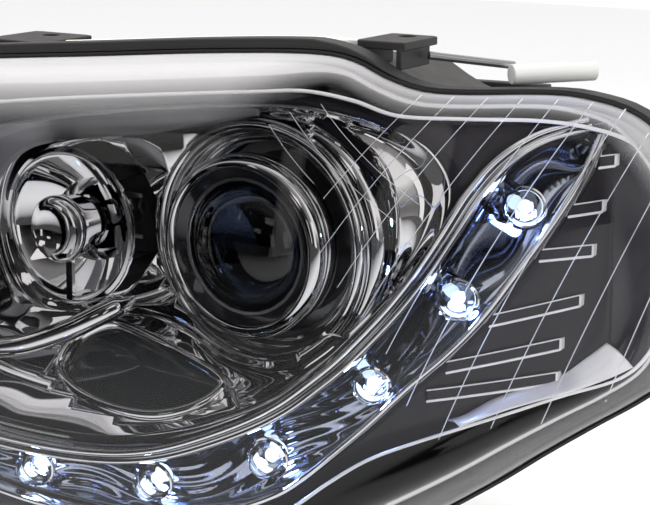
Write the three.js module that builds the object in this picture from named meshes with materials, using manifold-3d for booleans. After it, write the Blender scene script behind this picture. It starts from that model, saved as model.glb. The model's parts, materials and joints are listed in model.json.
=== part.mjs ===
// A car headlight assembly for the left-hand front corner, with a projector low beam, a bowl high beam,
// a smoked indicator pocket and a row of daytime running lights that rises round the outboard side.
//
// The lamp is drawn about its projector: +X runs outboard, -Y is the way the beam leaves, +Z is up, and
// the low-beam axis is the line X = 0, Z = 0. The finished group is then moved so that the part's origin
// lies on the upper face of the inboard upper mounting tab. All sizes are millimetres.
import * as THREE from "three";
import { mergeVertices } from "three/addons/utils/BufferGeometryUtils.js";
import Module from "manifold-3d";

const wasm = await Module();
wasm.setup();

// ---------------------------------------------------------------- driving dimensions
const LENS_WALL = 3; // clear polycarbonate cover
const LENS_SKIRT = 10; // straight rim of the cover, glued into the housing
const HOUSING_WALL = 3;
const BEZEL_WALL = 2.2;
const FIT_GAP = 0.4; // between pieces that touch or seat on each other
const AROUND = 44; // points round each moulded outline

const PROJECTOR_LENS_RADIUS = 32;
const PROJECTOR_LENS_DOME = 14;
const INNER_RING_RADIUS = 46; // chrome lip round the projector
const OUTER_RING_RADIUS = 61; // chrome ring on the bezel
const AIM_GAP = 7; // free room between the moving inner ring and the outer ring
const BOWL_FLANGE_Y = 42; // plane where the projector bowl meets the lens holder
const BULB_HOLE_RADIUS = 11;

const HIGH_BEAM = new THREE.Vector3(-101, -14, 0); // centre of the high-beam rim
const HIGH_BEAM_RADIUS = 40;
const HIGH_BEAM_FOCUS = 20;

const PIVOT = new THREE.Vector3(76, 66, 52); // ball that the carrier turns about
const LEVEL_DROP = 122; // levelling stem below the ball
const AIM_SPAN = 240; // side-aim screw inboard of the ball
const BALL_RADIUS = 6;
const PLATE_Y = 46; // front face of the carrier plate
const PLATE = 4;

const LOW_CAP_RADIUS = 50;
const HIGH_CAP_RADIUS = 36;
const CAP_NECK = 16; // how far the rear necks stand out of the housing
const CAP_DEPTH = 12;

const RIB_COUNT = 6;
const RIB_PITCH = 21.5;
const RIB_TOP_Z = 43;
const RIB_HEIGHT = 4.5;

const LED_RADIUS = 10;
const LED_LENGTH = 15;

const TAB_THICKNESS = 3;
const TAB_HOLE_RADIUS = 4.5;

// Depths behind the outer face of the cover, measured along Y.
const FRAME_FRONT = 15;
const FRAME_BACK = 30;
const PLATE_FRONT = 27;
const TRIM_FRONT = 16;
const TRIM_BACK = 24;
const CHANNEL_FLOOR = 44;

// ---------------------------------------------------------------- outlines, as X, Z
// Rim of the cover, with the radius of its rolled edge as a third number.
const COVER_RIM = [
  [-165, 84, 20],
  [-123, 88, 24],
  [-72, 91, 26],
  [-24, 94, 26],
  [20, 96, 22],
  [44, 96, 15],
  [58, 93, 11],
  [70, 86, 11],
  [83, 80, 13],
  [98, 78, 14],
  [125, 77, 14],
  [141, 74, 13],
  [158, 65, 13],
  [173, 45, 16],
  [184, 19, 18],
  [188, -12, 20],
  [186, -42, 20],
  [178, -64, 20],
  [164, -77, 22],
  [148, -88, 25],
  [130, -101, 28],
  [112, -115, 31],
  [89, -131, 34],
  [60, -150, 36],
  [22, -168, 38],
  [-25, -178, 38],
  [-80, -176, 36],
  [-140, -162, 32],
  [-188, -136, 28],
  [-218, -95, 24],
  [-230, -45, 22],
  [-224, 10, 20],
  [-202, 58, 18],
];
const COVER_CENTRE = [-25, -40];

// Front edge of the frame that edges the whole bezel.
const FRAME_RIM = [
  [-150, 63],
  [-115, 69],
  [-80, 73],
  [-30, 77],
  [15, 80],
  [38, 81],
  [58, 77],
  [76, 70],
  [99, 68],
  [126, 67],
  [144, 62],
  [158, 53],
  [170, 36],
  [176, 12],
  [178, -15],
  [175, -42],
  [166, -62],
  [140, -74],
  [112, -82],
  [88, -89],
  [71, -97],
  [55, -109],
  [36, -125],
  [10, -139],
  [-22, -149],
  [-70, -152],
  [-120, -144],
  [-165, -124],
  [-195, -90],
  [-207, -45],
  [-201, 5],
  [-180, 44],
];

// Edge of the chrome recess that holds the two beams. Its lower right part follows the light channel.
const RECESS_RIM = [
  [20, 74],
  [44, 71],
  [62, 66],
  [77, 58],
  [88, 47],
  [94, 32],
  [92, 12],
  [84, -5],
  [73, -22],
  [57, -42],
  [43.5, -55.5],
  [29, -69],
  [9.5, -80],
  [-18, -91.5],
  [-58, -99.5],
  [-108, -95.5],
  [-138, -86],
  [-162, -73],
  [-182, -54],
  [-192, -27],
  [-188, 5],
  [-172, 33],
  [-145, 50],
  [-110, 59],
  [-70, 66],
  [-30, 71],
];
const RECESS_FLOOR = [
  [20, 64.5],
  [46, 59],
  [64, 45],
  [73, 24],
  [74, 0],
  [68, -17],
  [53, -38],
  [32, -57],
  [0, -66],
  [-25, -62],
  [-46, -49],
  [-66, -46],
  [-100, -51],
  [-138, -56],
  [-160, -44],
  [-171, -15],
  [-166, 18],
  [-148, 38],
  [-110, 50],
  [-60, 58],
  [-20, 64.5],
];
const RECESS_CENTRE = [-45, -10];

// Upper and lower edges of the running-light channel, from inboard to its outboard tip.
const CHANNEL_UPPER = [
  [-196, -50],
  [-188, -66],
  [-166, -84],
  [-140, -94],
  [-109, -102],
  [-80, -105.5],
  [-58, -106],
  [-37, -104],
  [-15, -98],
  [14, -85],
  [34, -73],
  [49, -60],
  [63, -45.5],
  [79, -24],
  [90, -5],
  [98, 12],
  [106, 31],
  [115, 44],
  [124, 51],
  [133, 55],
];
const CHANNEL_LOWER = [
  [-192, -72],
  [-184, -92],
  [-168, -107],
  [-143, -120],
  [-108, -132],
  [-78, -138],
  [-50, -139],
  [-22, -136],
  [5, -129],
  [29, -118],
  [43, -107],
  [56, -94],
  [70, -79],
  [85, -61],
  [100, -44],
  [112, -27],
  [124, -4],
  [134, 17],
  [138, 32],
  [139, 46],
];
const LED_PLACES = [0.13, 0.27, 0.41, 0.55, 0.69, 0.81, 0.92]; // along the channel, from inboard

// Smoked indicator pocket, drawn in the sloping lower wall of the recess.
const POCKET_PLACE = new THREE.Vector3(-57, -8.7, -71);
const POCKET_LEAN = -0.824;
const POCKET_RIM = 5;
const POCKET_OUTLINE = [
  [-46, -8.4],
  [-46, 7],
  [-39, 18],
  [-26, 24],
  [-4, 19],
  [22, 10],
  [44, 1],
  [48, -6],
  [38, -17.5],
  [18, -26],
  [-6, -26],
  [-30, -20],
];

// ---------------------------------------------------------------- surfaces, as Y of X and Z
// Outer face of the clear cover. It sweeps back towards the outboard side and leans back top and bottom.
const FACE_Y = -54;
const FACE_SLOPE = 0.36;
const FACE_INBOARD_BEND = 0.0004;
const FACE_OUTBOARD_BEND = 0.0036;
const FACE_BEND_START = 20;
const FACE_LEAN = 0.0012;
const FACE_LEAN_Z = -40;
function faceY(x, z) {
  const inboard = Math.min(x, 0);
  const outboard = Math.max(x - FACE_BEND_START, 0);
  const lean = z - FACE_LEAN_Z;
  return (
    FACE_Y +
    FACE_SLOPE * x +
    FACE_INBOARD_BEND * inboard * inboard +
    FACE_OUTBOARD_BEND * outboard * outboard +
    FACE_LEAN * lean * lean
  );
}

// Floor of the recess, square to the beams.
const FLOOR_Y = 14;

// Rear wall of the housing.
const BACK_Y = 122;
const BACK_SLOPE = 0.12;
function backY(x) {
  return BACK_Y + BACK_SLOPE * x;
}

// ---------------------------------------------------------------- solid helpers
function solidOf(geometry) {
  const bare = new THREE.BufferGeometry();
  bare.setAttribute("position", geometry.getAttribute("position"));
  if (geometry.index) bare.setIndex(geometry.index);
  const merged = mergeVertices(bare, 1e-3);
  const triVerts = new Uint32Array(merged.index.array);
  const vertProperties = merged.attributes.position.array;
  const made = new wasm.Manifold(new wasm.Mesh({ numProp: 3, vertProperties, triVerts }));
  if (made.volume() >= 0) return made;
  for (let i = 0; i < triVerts.length; i += 3) {
    [triVerts[i + 1], triVerts[i + 2]] = [triVerts[i + 2], triVerts[i + 1]];
  }
  return new wasm.Manifold(new wasm.Mesh({ numProp: 3, vertProperties, triVerts }));
}

function geometryOf(solid) {
  const mesh = solid.getMesh();
  const positions = new Float32Array(mesh.numVert * 3);
  for (let i = 0; i < mesh.numVert; i++) {
    positions.set(mesh.vertProperties.subarray(i * mesh.numProp, i * mesh.numProp + 3), i * 3);
  }
  const geometry = new THREE.BufferGeometry();
  geometry.setAttribute("position", new THREE.BufferAttribute(positions, 3));
  geometry.setIndex(new THREE.BufferAttribute(mesh.triVerts, 1));
  return geometry;
}

const join = (first, ...others) => others.reduce((all, one) => all.add(one), first);
const cut = (first, ...others) => others.reduce((left, one) => left.subtract(one), first);

function moved(geometry, x, y, z) {
  return geometry.translate(x, y, z);
}

function box(width, depth, height, x, y, z) {
  return solidOf(moved(new THREE.BoxGeometry(width, depth, height), x, y, z));
}

// A turned solid about an axis along Y. The profile is radius and Y, counted from the place given.
function turned(profile, place = new THREE.Vector3(), segments = 24) {
  const points = profile.map(([radius, y]) => new THREE.Vector2(radius, y));
  return solidOf(moved(new THREE.LatheGeometry(points, segments), place.x, place.y, place.z));
}

function rod(radius, front, back, x = 0, z = 0, segments = 16) {
  const profile = [
    [0, front],
    [radius, front],
    [radius, back],
    [0, back],
  ];
  return turned(profile, new THREE.Vector3(x, 0, z), segments);
}

function tube(outer, inner, front, back, x = 0, z = 0, segments = 24) {
  const profile = [
    [inner, front],
    [outer, front],
    [outer, back],
    [inner, back],
    [inner, front],
  ];
  return turned(profile, new THREE.Vector3(x, 0, z), segments);
}

// ---------------------------------------------------------------- outline helpers
// Samples a closed outline at even angles round a centre. Further numbers of a point are carried along.
function byAngle(control, centre, count = AROUND) {
  const points = control.map(([x, z, extra = 0]) => new THREE.Vector3(x, extra, z));
  const curve = new THREE.CatmullRomCurve3(points, true, "centripetal");
  const dense = curve.getPoints(control.length * 16).map((p) => ({
    angle: Math.atan2(p.z - centre[1], p.x - centre[0]),
    radius: Math.hypot(p.x - centre[0], p.z - centre[1]),
    extra: p.y,
  }));
  dense.sort((a, b) => a.angle - b.angle);
  const ring = [];
  for (let i = 0; i < count; i++) {
    const angle = -Math.PI + (2 * Math.PI * (i + 0.5)) / count;
    let next = dense.findIndex((p) => p.angle > angle);
    if (next < 0) next = 0;
    const b = dense[next];
    const a = dense[(next + dense.length - 1) % dense.length];
    const span = (b.angle - a.angle + 2 * Math.PI) % (2 * Math.PI);
    const share = span > 0 ? ((angle - a.angle + 2 * Math.PI) % (2 * Math.PI)) / span : 0;
    const radius = a.radius + (b.radius - a.radius) * share;
    ring.push({
      x: centre[0] + radius * Math.cos(angle),
      z: centre[1] + radius * Math.sin(angle),
      extra: a.extra + (b.extra - a.extra) * share,
    });
  }
  return ring;
}

// Moves each point of a ring inwards, square to the outline, by a distance or a function of the point.
function inset(ring, distance) {
  const n = ring.length;
  return ring.map((p, i) => {
    const before = ring[(i + n - 1) % n];
    const after = ring[(i + 1) % n];
    const tx = after.x - before.x;
    const tz = after.z - before.z;
    const length = Math.hypot(tx, tz);
    const d = typeof distance === "function" ? distance(p) : distance;
    return { ...p, x: p.x - (tz / length) * d, z: p.z + (tx / length) * d };
  });
}

function shrunk(ring, centre, share) {
  return ring.map((p) => ({
    ...p,
    x: centre[0] + (p.x - centre[0]) * share,
    z: centre[1] + (p.z - centre[1]) * share,
  }));
}

// Gives every point of a flat ring its Y.
function raised(ring, heightOf) {
  return ring.map((p) => new THREE.Vector3(p.x, heightOf(p), p.z));
}

// A closed skin through rings of points, made by turning a profile and moving its points to the rings.
function skin(rings) {
  const steps = rings[0].length;
  const profile = rings.map((_, j) => new THREE.Vector2(1 + j, 0));
  const geometry = new THREE.LatheGeometry(profile, steps);
  const position = geometry.getAttribute("position");
  for (let i = 0; i <= steps; i++) {
    rings.forEach((ring, j) => {
      const p = ring[i % steps];
      position.setXYZ(i * rings.length + j, p.x, p.y, p.z);
    });
  }
  return solidOf(geometry);
}

const middleOf = (ring, centre) => shrunk(ring, centre, 0);

// A box bent through space: across, along and through run from 0 to 1 and place(u, v, w) gives the point.
function bent(place, alongSteps, acrossSteps = 1, throughSteps = 1) {
  const geometry = new THREE.BoxGeometry(1, 1, 1, alongSteps, acrossSteps, throughSteps);
  const position = geometry.getAttribute("position");
  for (let i = 0; i < position.count; i++) {
    const p = place(position.getX(i) + 0.5, position.getY(i) + 0.5, position.getZ(i) + 0.5);
    position.setXYZ(i, p.x, p.y, p.z);
  }
  return solidOf(geometry);
}

// A prism along Y from a flat outline of X, Z points.
function extruded(points, front, back) {
  const shape = new THREE.Shape(points.map((p) => new THREE.Vector2(p.x, p.z)));
  const geometry = new THREE.ExtrudeGeometry(shape, { depth: back - front, bevelEnabled: false });
  return geometry.rotateX(Math.PI / 2).translate(0, back, 0);
}

function curveOf(points) {
  return new THREE.CatmullRomCurve3(points.map(([x, z]) => new THREE.Vector3(x, 0, z)));
}

// ---------------------------------------------------------------- the group
const lamp = new THREE.Group();
const materials = {};
function material(name, colour, roughness, metalness, opacity = 1) {
  materials[name] = new THREE.MeshStandardMaterial({
    color: colour,
    roughness,
    metalness,
    opacity,
    transparent: opacity < 1,
  });
}
material("clear", 0xe8eef2, 0.04, 0, 0.2);
material("smoked", 0x14181c, 0.05, 0, 0.6);
material("chrome", 0xd8d8da, 0.06, 1);
material("dark_chrome", 0x55555c, 0.1, 1);
material("satin_black", 0x1c1c20, 0.45, 0);
material("gloss_black", 0x0c0c0e, 0.12, 0);
material("housing_black", 0x17181a, 0.6, 0);
material("rubber", 0x0b0b0b, 0.8, 0);
material("foam", 0xe6e2db, 0.9, 0);
material("steel", 0xa8a9ab, 0.35, 1);
material("grey_plastic", 0xb9b9b6, 0.5, 0);
material("white_plastic", 0xe8e8e4, 0.4, 0);
material("amber", 0xe8861a, 0.1, 0, 0.6);
material("brass", 0xb08d45, 0.3, 1);
material("board", 0xdfe4e8, 0.5, 0);

function add(name, solid, finish) {
  const mesh = new THREE.Mesh(geometryOf(solid), materials[finish]);
  mesh.name = name;
  lamp.add(mesh);
}

// ---------------------------------------------------------------- cover, seal and housing
const coverRim = byAngle(COVER_RIM, COVER_CENTRE);
const rollOf = (p) => p.extra;
const rimY = (p) => faceY(p.x, p.z) + rollOf(p) + LENS_SKIRT;

// Rings of the cover's outer face, or of its inner face when depth is the wall.
function coverRings(depth) {
  const wall = (p) => {
    const step = 0.5;
    const sx = (faceY(p.x + step, p.z) - faceY(p.x - step, p.z)) / (2 * step);
    const sz = (faceY(p.x, p.z + step) - faceY(p.x, p.z - step)) / (2 * step);
    return depth * Math.hypot(1, sx, sz);
  };
  const start = inset(coverRim, rollOf);
  const rings = [0, 0.45, 0.75, 1].map((share) =>
    raised(shrunk(start, COVER_CENTRE, share), (p) => faceY(p.x, p.z) + wall(p)),
  );
  const quarter = [0.33, 0.67, 1];
  quarter.forEach((share) => {
    const turn = (share * Math.PI) / 2;
    const ring = inset(coverRim, (p) => {
      const radius = rollOf(p) - depth;
      return rollOf(p) - radius * Math.sin(turn);
    });
    const faces = start.map((p) => faceY(p.x, p.z) + wall(p));
    rings.push(
      ring.map((p, i) => {
        const sweep = (rimY(coverRim[i]) - LENS_SKIRT - faces[i]) * (1 - Math.cos(turn));
        return new THREE.Vector3(p.x, faces[i] + sweep, p.z);
      }),
    );
  });
  rings.push(raised(coverRim, rimY).map((p, i) => {
    const q = inset(coverRim, depth)[i];
    return new THREE.Vector3(q.x, p.y, q.z);
  }));
  return rings;
}
add("outer_lens", skin([...coverRings(0), ...coverRings(LENS_WALL).reverse()]), "clear");

const FLANGE_OUT = 7; // how far the housing's flange stands out round the cover
const GLUE_DEPTH = 6; // how deep the cover's skirt sits in the flange
const onRim = (distance, back) => {
  const ring = inset(coverRim, distance);
  return ring.map((p, i) => new THREE.Vector3(p.x, rimY(coverRim[i]) + back, p.z));
};
const SEAL = 1.6; // bead of sealant round the skirt
add(
  "lens_seal",
  skin([
    onRim(-FIT_GAP, -GLUE_DEPTH - 1),
    onRim(-FIT_GAP - SEAL, -GLUE_DEPTH - 1),
    onRim(-FIT_GAP - SEAL, FIT_GAP),
    onRim(-FIT_GAP, FIT_GAP),
    onRim(-FIT_GAP, -GLUE_DEPTH - 1),
  ]),
  "rubber",
);

// The housing is a deep tub. Its flange holds the cover's skirt, its wall draws in to a sloping back.
const HOUSING_DRAFT = 9;
const backRing = (distance, share, extra) =>
  raised(shrunk(inset(coverRim, distance), COVER_CENTRE, share), (p) =>
    Math.max(backY(p.x) + extra, 0),
  );
function housingBody() {
  const wallBack = (p, i) => Math.max(backY(p.x) - 26, rimY(coverRim[i]) + 12);
  const side = (distance, lift) => {
    const ring = inset(coverRim, distance);
    return ring.map((p, i) => new THREE.Vector3(p.x, wallBack(p, i) + lift, p.z));
  };
  const outer = [
    raised(middleOf(coverRim, COVER_CENTRE), (p) => backY(p.x)),
    backRing(26, 0.5, 0),
    backRing(26, 0.97, -2),
    side(HOUSING_DRAFT, 0),
    onRim(2, 6),
    onRim(-FLANGE_OUT, 5),
    onRim(-FLANGE_OUT, -GLUE_DEPTH),
    onRim(-FIT_GAP * 2 - SEAL, -GLUE_DEPTH),
    onRim(-FIT_GAP * 2 - SEAL, FIT_GAP * 2),
  ];
  const inner = [
    onRim(4.5, FIT_GAP * 2),
    onRim(2 + HOUSING_WALL + 1, 6),
    side(HOUSING_DRAFT + HOUSING_WALL, -1),
    backRing(26 + HOUSING_WALL, 0.97, -2 - HOUSING_WALL),
    backRing(26, 0.5, -HOUSING_WALL),
    raised(middleOf(coverRim, COVER_CENTRE), (p) => backY(p.x) - HOUSING_WALL),
  ];
  return skin([...outer, ...inner]);
}
const LOW_AXIS = new THREE.Vector3(0, 0, 0);
const HIGH_AXIS = HIGH_BEAM.clone().setY(0);
const INDICATOR_AXIS = new THREE.Vector3(-55, 0, -82);
const INDICATOR_PORT = 18;
const LEVEL_PLACE = new THREE.Vector3(PIVOT.x, PIVOT.y, PIVOT.z - LEVEL_DROP);
const AIM_PLACE = new THREE.Vector3(PIVOT.x - AIM_SPAN, PIVOT.y, PIVOT.z);
const AIM_BOSS = [9.5, 96, BACK_Y + 10]; // radius, front and back of the boss that guides the aim stem
const MOTOR_BOSS = 12;

const neckFront = (x) => backY(x) - HOUSING_WALL - 6;
const neckBack = (axis, radius) => backY(axis.x + radius) + CAP_NECK;

// The highest point of the cover's rim at x, with the rim's Y there.
function topOfCover(x) {
  for (let i = 0; i < coverRim.length; i++) {
    const a = coverRim[i];
    const b = coverRim[(i + 1) % coverRim.length];
    if (a.z > 0 && b.z > 0 && (a.x - x) * (b.x - x) <= 0 && a.x !== b.x) {
      const share = (x - a.x) / (b.x - a.x);
      return { z: a.z + (b.z - a.z) * share, y: rimY(a) + (rimY(b) - rimY(a)) * share };
    }
  }
  return { z: 0, y: 0 };
}

const TOP_TABS = [
  { x: -120, front: -30, depth: 40, top: 96, width: 38 },
  { x: 60, front: 24, depth: 34, top: 102, width: 26 },
];
const LOWER_LUG = { x: -60, z: -186, front: 10, depth: 40 };
const SIDE_LUG = { x: 150, z: -52, front: 128, depth: 3 };

function tab({ x, front, depth, top, width }) {
  const middle = front + depth / 2;
  const plate = box(width, depth, TAB_THICKNESS, x, middle, top - TAB_THICKNESS / 2);
  const webs = [-1, 1].map((side) =>
    box(3, depth - 6, 18, x + side * (width / 2 - 3), middle - 3, top - TAB_THICKNESS - 8),
  );
  const bolt = solidOf(
    new THREE.CylinderGeometry(TAB_HOLE_RADIUS, TAB_HOLE_RADIUS, 8, 24)
      .rotateX(Math.PI / 2)
      .translate(x, middle + 9, top),
  );
  return cut(join(plate, ...webs), bolt);
}

function lowerLug({ x, z, front, depth }) {
  const middle = front + depth / 2;
  const plate = box(44, depth, TAB_THICKNESS, x, middle, z + TAB_THICKNESS / 2);
  const webs = [-1, 1].map((side) => box(3, depth - 4, 24, x + side * 19, middle, z + 14));
  const bolt = solidOf(
    new THREE.CylinderGeometry(TAB_HOLE_RADIUS, TAB_HOLE_RADIUS, 8, 24)
      .rotateX(Math.PI / 2)
      .translate(x, middle + 9, z),
  );
  return cut(join(plate, ...webs), bolt);
}

function housing() {
  const neck = (axis, radius) =>
    rod(radius, neckFront(axis.x - radius), neckBack(axis, radius), axis.x, axis.z, 24);
  const bore = (axis, radius) =>
    rod(radius - HOUSING_WALL, neckFront(axis.x - radius) - 30, neckBack(axis, radius) + 5, axis.x, axis.z, 24);
  const ports = [
    [LOW_AXIS, LOW_CAP_RADIUS],
    [HIGH_AXIS, HIGH_CAP_RADIUS],
    [INDICATOR_AXIS, INDICATOR_PORT],
  ];
  const body = join(
    housingBody(),
    ...ports.map(([axis, radius]) => neck(axis, radius)),
    rod(AIM_BOSS[0], AIM_BOSS[1], AIM_BOSS[2], AIM_PLACE.x, AIM_PLACE.z),
    ...TOP_TABS.map(tab),
    lowerLug(LOWER_LUG),
  );
  return cut(
    body,
    ...ports.map(([axis, radius]) => bore(axis, radius)),
    rod(5.4, AIM_BOSS[1] - 20, AIM_BOSS[2] + 5, AIM_PLACE.x, AIM_PLACE.z),
    rod(MOTOR_BOSS + FIT_GAP, BACK_Y - 12, BACK_Y + 28, LEVEL_PLACE.x, LEVEL_PLACE.z),
    rod(4 + FIT_GAP, BACK_Y - 12, BACK_Y + 28, PIVOT.x, PIVOT.z, 16),
  );
}
add("housing", housing(), "housing_black");

function topFoam() {
  return bent(
    (u, v, w) => {
      const x = -94 + u * 136;
      const top = topOfCover(x);
      return new THREE.Vector3(x, top.y + 6.5 + w * 32, top.z + 0.2 + v * (7 - 4 * w));
    },
    8,
  );
}
add("top_foam", topFoam(), "foam");

// ---------------------------------------------------------------- bezel
const at = (p, depth) => new THREE.Vector3(p.x, faceY(p.x, p.z) + depth, p.z);
const frameRim = byAngle(FRAME_RIM, COVER_CENTRE);
const atDepth = (ring, depth) => raised(ring, (p) => faceY(p.x, p.z) + depth);
const FRAME_WIDTH = 3;

add(
  "bezel_frame",
  skin([
    atDepth(frameRim, FRAME_FRONT),
    atDepth(inset(frameRim, FRAME_WIDTH), FRAME_FRONT),
    atDepth(inset(frameRim, FRAME_WIDTH), FRAME_BACK),
    atDepth(frameRim, FRAME_BACK),
    atDepth(frameRim, FRAME_FRONT),
  ]),
  "dark_chrome",
);

const upperCurve = curveOf(CHANNEL_UPPER);
const lowerCurve = curveOf(CHANNEL_LOWER);
const CHANNEL_STEPS = 16;
const upperLine = upperCurve.getSpacedPoints(CHANNEL_STEPS);
const lowerLine = lowerCurve.getSpacedPoints(CHANNEL_STEPS);

// Moves a line sideways; a positive distance goes to the upper left of its direction.
function besideLine(line, distance) {
  return line.map((p, i) => {
    const before = line[Math.max(i - 1, 0)];
    const after = line[Math.min(i + 1, line.length - 1)];
    const tx = after.x - before.x;
    const tz = after.z - before.z;
    const length = Math.hypot(tx, tz);
    return new THREE.Vector3(p.x - (tz / length) * distance, 0, p.z + (tx / length) * distance);
  });
}
function alongLine(line, u) {
  const place = Math.min(Math.max(u, 0), 1) * (line.length - 1);
  const i = Math.min(Math.floor(place), line.length - 2);
  return line[i].clone().lerp(line[i + 1], place - i);
}

const far = (x, z) => new THREE.Vector3(x, 0, z);
const BELOW = [far(170, 90), far(300, 90), far(300, -300), far(-400, -300)];
const PLATE_GAP = 1.4; // between the bezel plates and the channel that parts them
const belowUpper = extruded([...besideLine(upperLine, PLATE_GAP), ...BELOW, far(-400, -20)], -300, 300);
const belowLower = extruded([...besideLine(lowerLine, -PLATE_GAP), ...BELOW, far(-400, -62)], -300, 300);

function bezelPlate() {
  const edge = inset(frameRim, FRAME_WIDTH + FIT_GAP);
  const shares = [0, 0.5, 0.75, 0.9, 1];
  return skin([
    ...shares.map((share) => atDepth(shrunk(edge, COVER_CENTRE, share), PLATE_FRONT)),
    ...shares
      .slice()
      .reverse()
      .map((share) => atDepth(shrunk(edge, COVER_CENTRE, share), PLATE_FRONT + BEZEL_WALL)),
  ]);
}

const recessRim = byAngle(RECESS_RIM, RECESS_CENTRE, 36);
const recessFloor = byAngle(RECESS_FLOOR, RECESS_CENTRE, 36);
function recess() {
  const onFloor = (ring, extra) => raised(ring, () => FLOOR_Y + extra);
  const between = recessRim.map((p, i) => ({
    x: p.x * 0.5 + recessFloor[i].x * 0.5,
    z: p.z * 0.5 + recessFloor[i].z * 0.5,
    extra: (faceY(p.x, p.z) + PLATE_FRONT) * 0.42 + FLOOR_Y * 0.58,
  }));
  return skin([
    onFloor(middleOf(recessFloor, RECESS_CENTRE), 0),
    onFloor(recessFloor, 0),
    raised(between, (p) => p.extra),
    atDepth(recessRim, PLATE_FRONT),
    atDepth(inset(recessRim, -2.4), PLATE_FRONT),
    atDepth(inset(recessRim, -2.4), PLATE_FRONT + BEZEL_WALL),
    raised(inset(between, -2.2), (p) => p.extra + 1.6),
    onFloor(inset(recessFloor, -1.6), BEZEL_WALL),
    onFloor(middleOf(recessFloor, RECESS_CENTRE), BEZEL_WALL),
  ]);
}

function pocketPrism(grow, front, back) {
  const middle = { x: 0, z: 0 };
  const ring = inset(byAngle(POCKET_OUTLINE, [middle.x, middle.z], 24), -grow);
  return extruded(ring, front, back)
    .rotateX(POCKET_LEAN)
    .translate(POCKET_PLACE.x, POCKET_PLACE.y, POCKET_PLACE.z);
}

const RING_HOLE = 58; // hole in the bezel for the outer ring
const HIGH_HOLE = 49; // hole in the bezel for the high-beam bowl
function mainBezel() {
  const plate = cut(bezelPlate(), solidOf(belowUpper), solidOf(extruded(recessRim, -300, 300)));
  const collar = rod(HIGH_HOLE + 2.4, -20, FLOOR_Y + 1, HIGH_BEAM.x, HIGH_BEAM.z, 24);
  const whole = join(plate, recess(), collar);
  return cut(
    whole,
    solidOf(belowUpper),
    rod(RING_HOLE, -60, 60, 0, 0, 28),
    rod(OUTER_RING_RADIUS + 1, -60, FLOOR_Y, 0, 0, 28),
    cut(rod(HIGH_HOLE, -90, 60, HIGH_BEAM.x, HIGH_BEAM.z, 24), rod(OUTER_RING_RADIUS, -100, 100, 0, 0, 28)),
    solidOf(pocketPrism(FIT_GAP, -6, 20)),
  );
}
add("main_bezel", mainBezel(), "chrome");

add("pocket_rim", cut(solidOf(pocketPrism(0, -3, 9)), solidOf(pocketPrism(-POCKET_RIM, -10, 16))), "dark_chrome");
add("pocket_window", solidOf(pocketPrism(-POCKET_RIM - FIT_GAP, 1, 3.5)), "smoked");

// Ribs lie level across the panel; each runs from the channel's edge towards the frame.
const RIB_TIPS = [150, 148, 146, 143, 138, 136];
const RIB_MARGIN = 5;
function rib(index) {
  const z = RIB_TOP_Z - index * RIB_PITCH;
  const beside = lowerLine.findIndex((p) => p.z > z + 2 && p.x > 0);
  const start = lowerLine[beside < 0 ? lowerLine.length - 1 : beside].x + RIB_MARGIN;
  const tip = RIB_TIPS[index];
  return bent(
    (u, v, w) => {
      const x = start + (tip - start) * u;
      const level = z + (v - 0.5) * RIB_HEIGHT;
      return new THREE.Vector3(x, faceY(x, level) + PLATE_FRONT - 7 + w * 9, level);
    },
    4,
  );
}
function sidePanel() {
  const edge = solidOf(belowLower);
  const plate = bezelPlate().intersect(edge);
  const ribs = Array.from({ length: RIB_COUNT }, (_, index) => rib(index));
  return join(plate, ...ribs);
}
add("side_panel", sidePanel(), "satin_black");

// ---------------------------------------------------------------- running lights
// A bent strip of the channel: across runs between two lines, through between two depths.
function strip(lineA, lineB, front, back, from = 0, to = 1) {
  return bent(
    (u, v, w) => {
      const share = from + (to - from) * u;
      const p = alongLine(lineA, share).lerp(alongLine(lineB, share), v);
      return at(p, front + (back - front) * w);
    },
    CHANNEL_STEPS,
  );
}
const LED_END = 0.955; // where the channel stops short of the tip

const LED_DEPTH = 30; // how far behind the cover's face the middle of each element sits
const ledMiddle = (share) => alongLine(upperLine, share).lerp(alongLine(lowerLine, share), 0.5);
function ledAxis(place) {
  const step = 0.5;
  const sx = faceY(place.x + step, place.z) - faceY(place.x - step, place.z);
  const sz = faceY(place.x, place.z + step) - faceY(place.x, place.z - step);
  const square = new THREE.Vector3(sx, -1, sz).normalize();
  return square.add(new THREE.Vector3(0, -1, 0)).normalize();
}
// The largest element that stands clear of both rails.
function ledRadius(share) {
  const middle = ledMiddle(share);
  const rooms = [...upperLine, ...lowerLine].map((p) => Math.hypot(p.x - middle.x, p.z - middle.z));
  return Math.min(LED_RADIUS, Math.min(...rooms) * 0.97 - 4.5);
}
// A turned solid stood on an LED's place, its profile counted forwards along the LED's axis.
function onLed(share, profile, segments) {
  const middle = ledMiddle(share);
  const axis = ledAxis(middle);
  const place = at(middle, LED_DEPTH).addScaledVector(axis, -LED_LENGTH / 2);
  const points = profile.map(([radius, y]) => new THREE.Vector2(radius, y));
  const turn = new THREE.Quaternion().setFromUnitVectors(new THREE.Vector3(0, 1, 0), axis);
  const geometry = new THREE.LatheGeometry(points, segments);
  return solidOf(geometry.applyQuaternion(turn).translate(place.x, place.y, place.z));
}

function ledChannel() {
  const floor = strip(upperLine, lowerLine, CHANNEL_FLOOR, CHANNEL_FLOOR + 2, 0, LED_END);
  const upperWall = strip(upperLine, besideLine(upperLine, -2), TRIM_BACK + 2 * FIT_GAP, CHANNEL_FLOOR + 2, 0, LED_END);
  const lowerWall = strip(besideLine(lowerLine, 2), lowerLine, TRIM_BACK + 2 * FIT_GAP, CHANNEL_FLOOR + 2, 0, LED_END);
  const seats = LED_PLACES.map((share) =>
    onLed(share, [[0, -7.5], [5, -7.5], [5, -FIT_GAP], [0, -FIT_GAP]], 8),
  );
  return join(floor, upperWall, lowerWall, ...seats);
}
add("led_channel", ledChannel(), "chrome");

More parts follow.
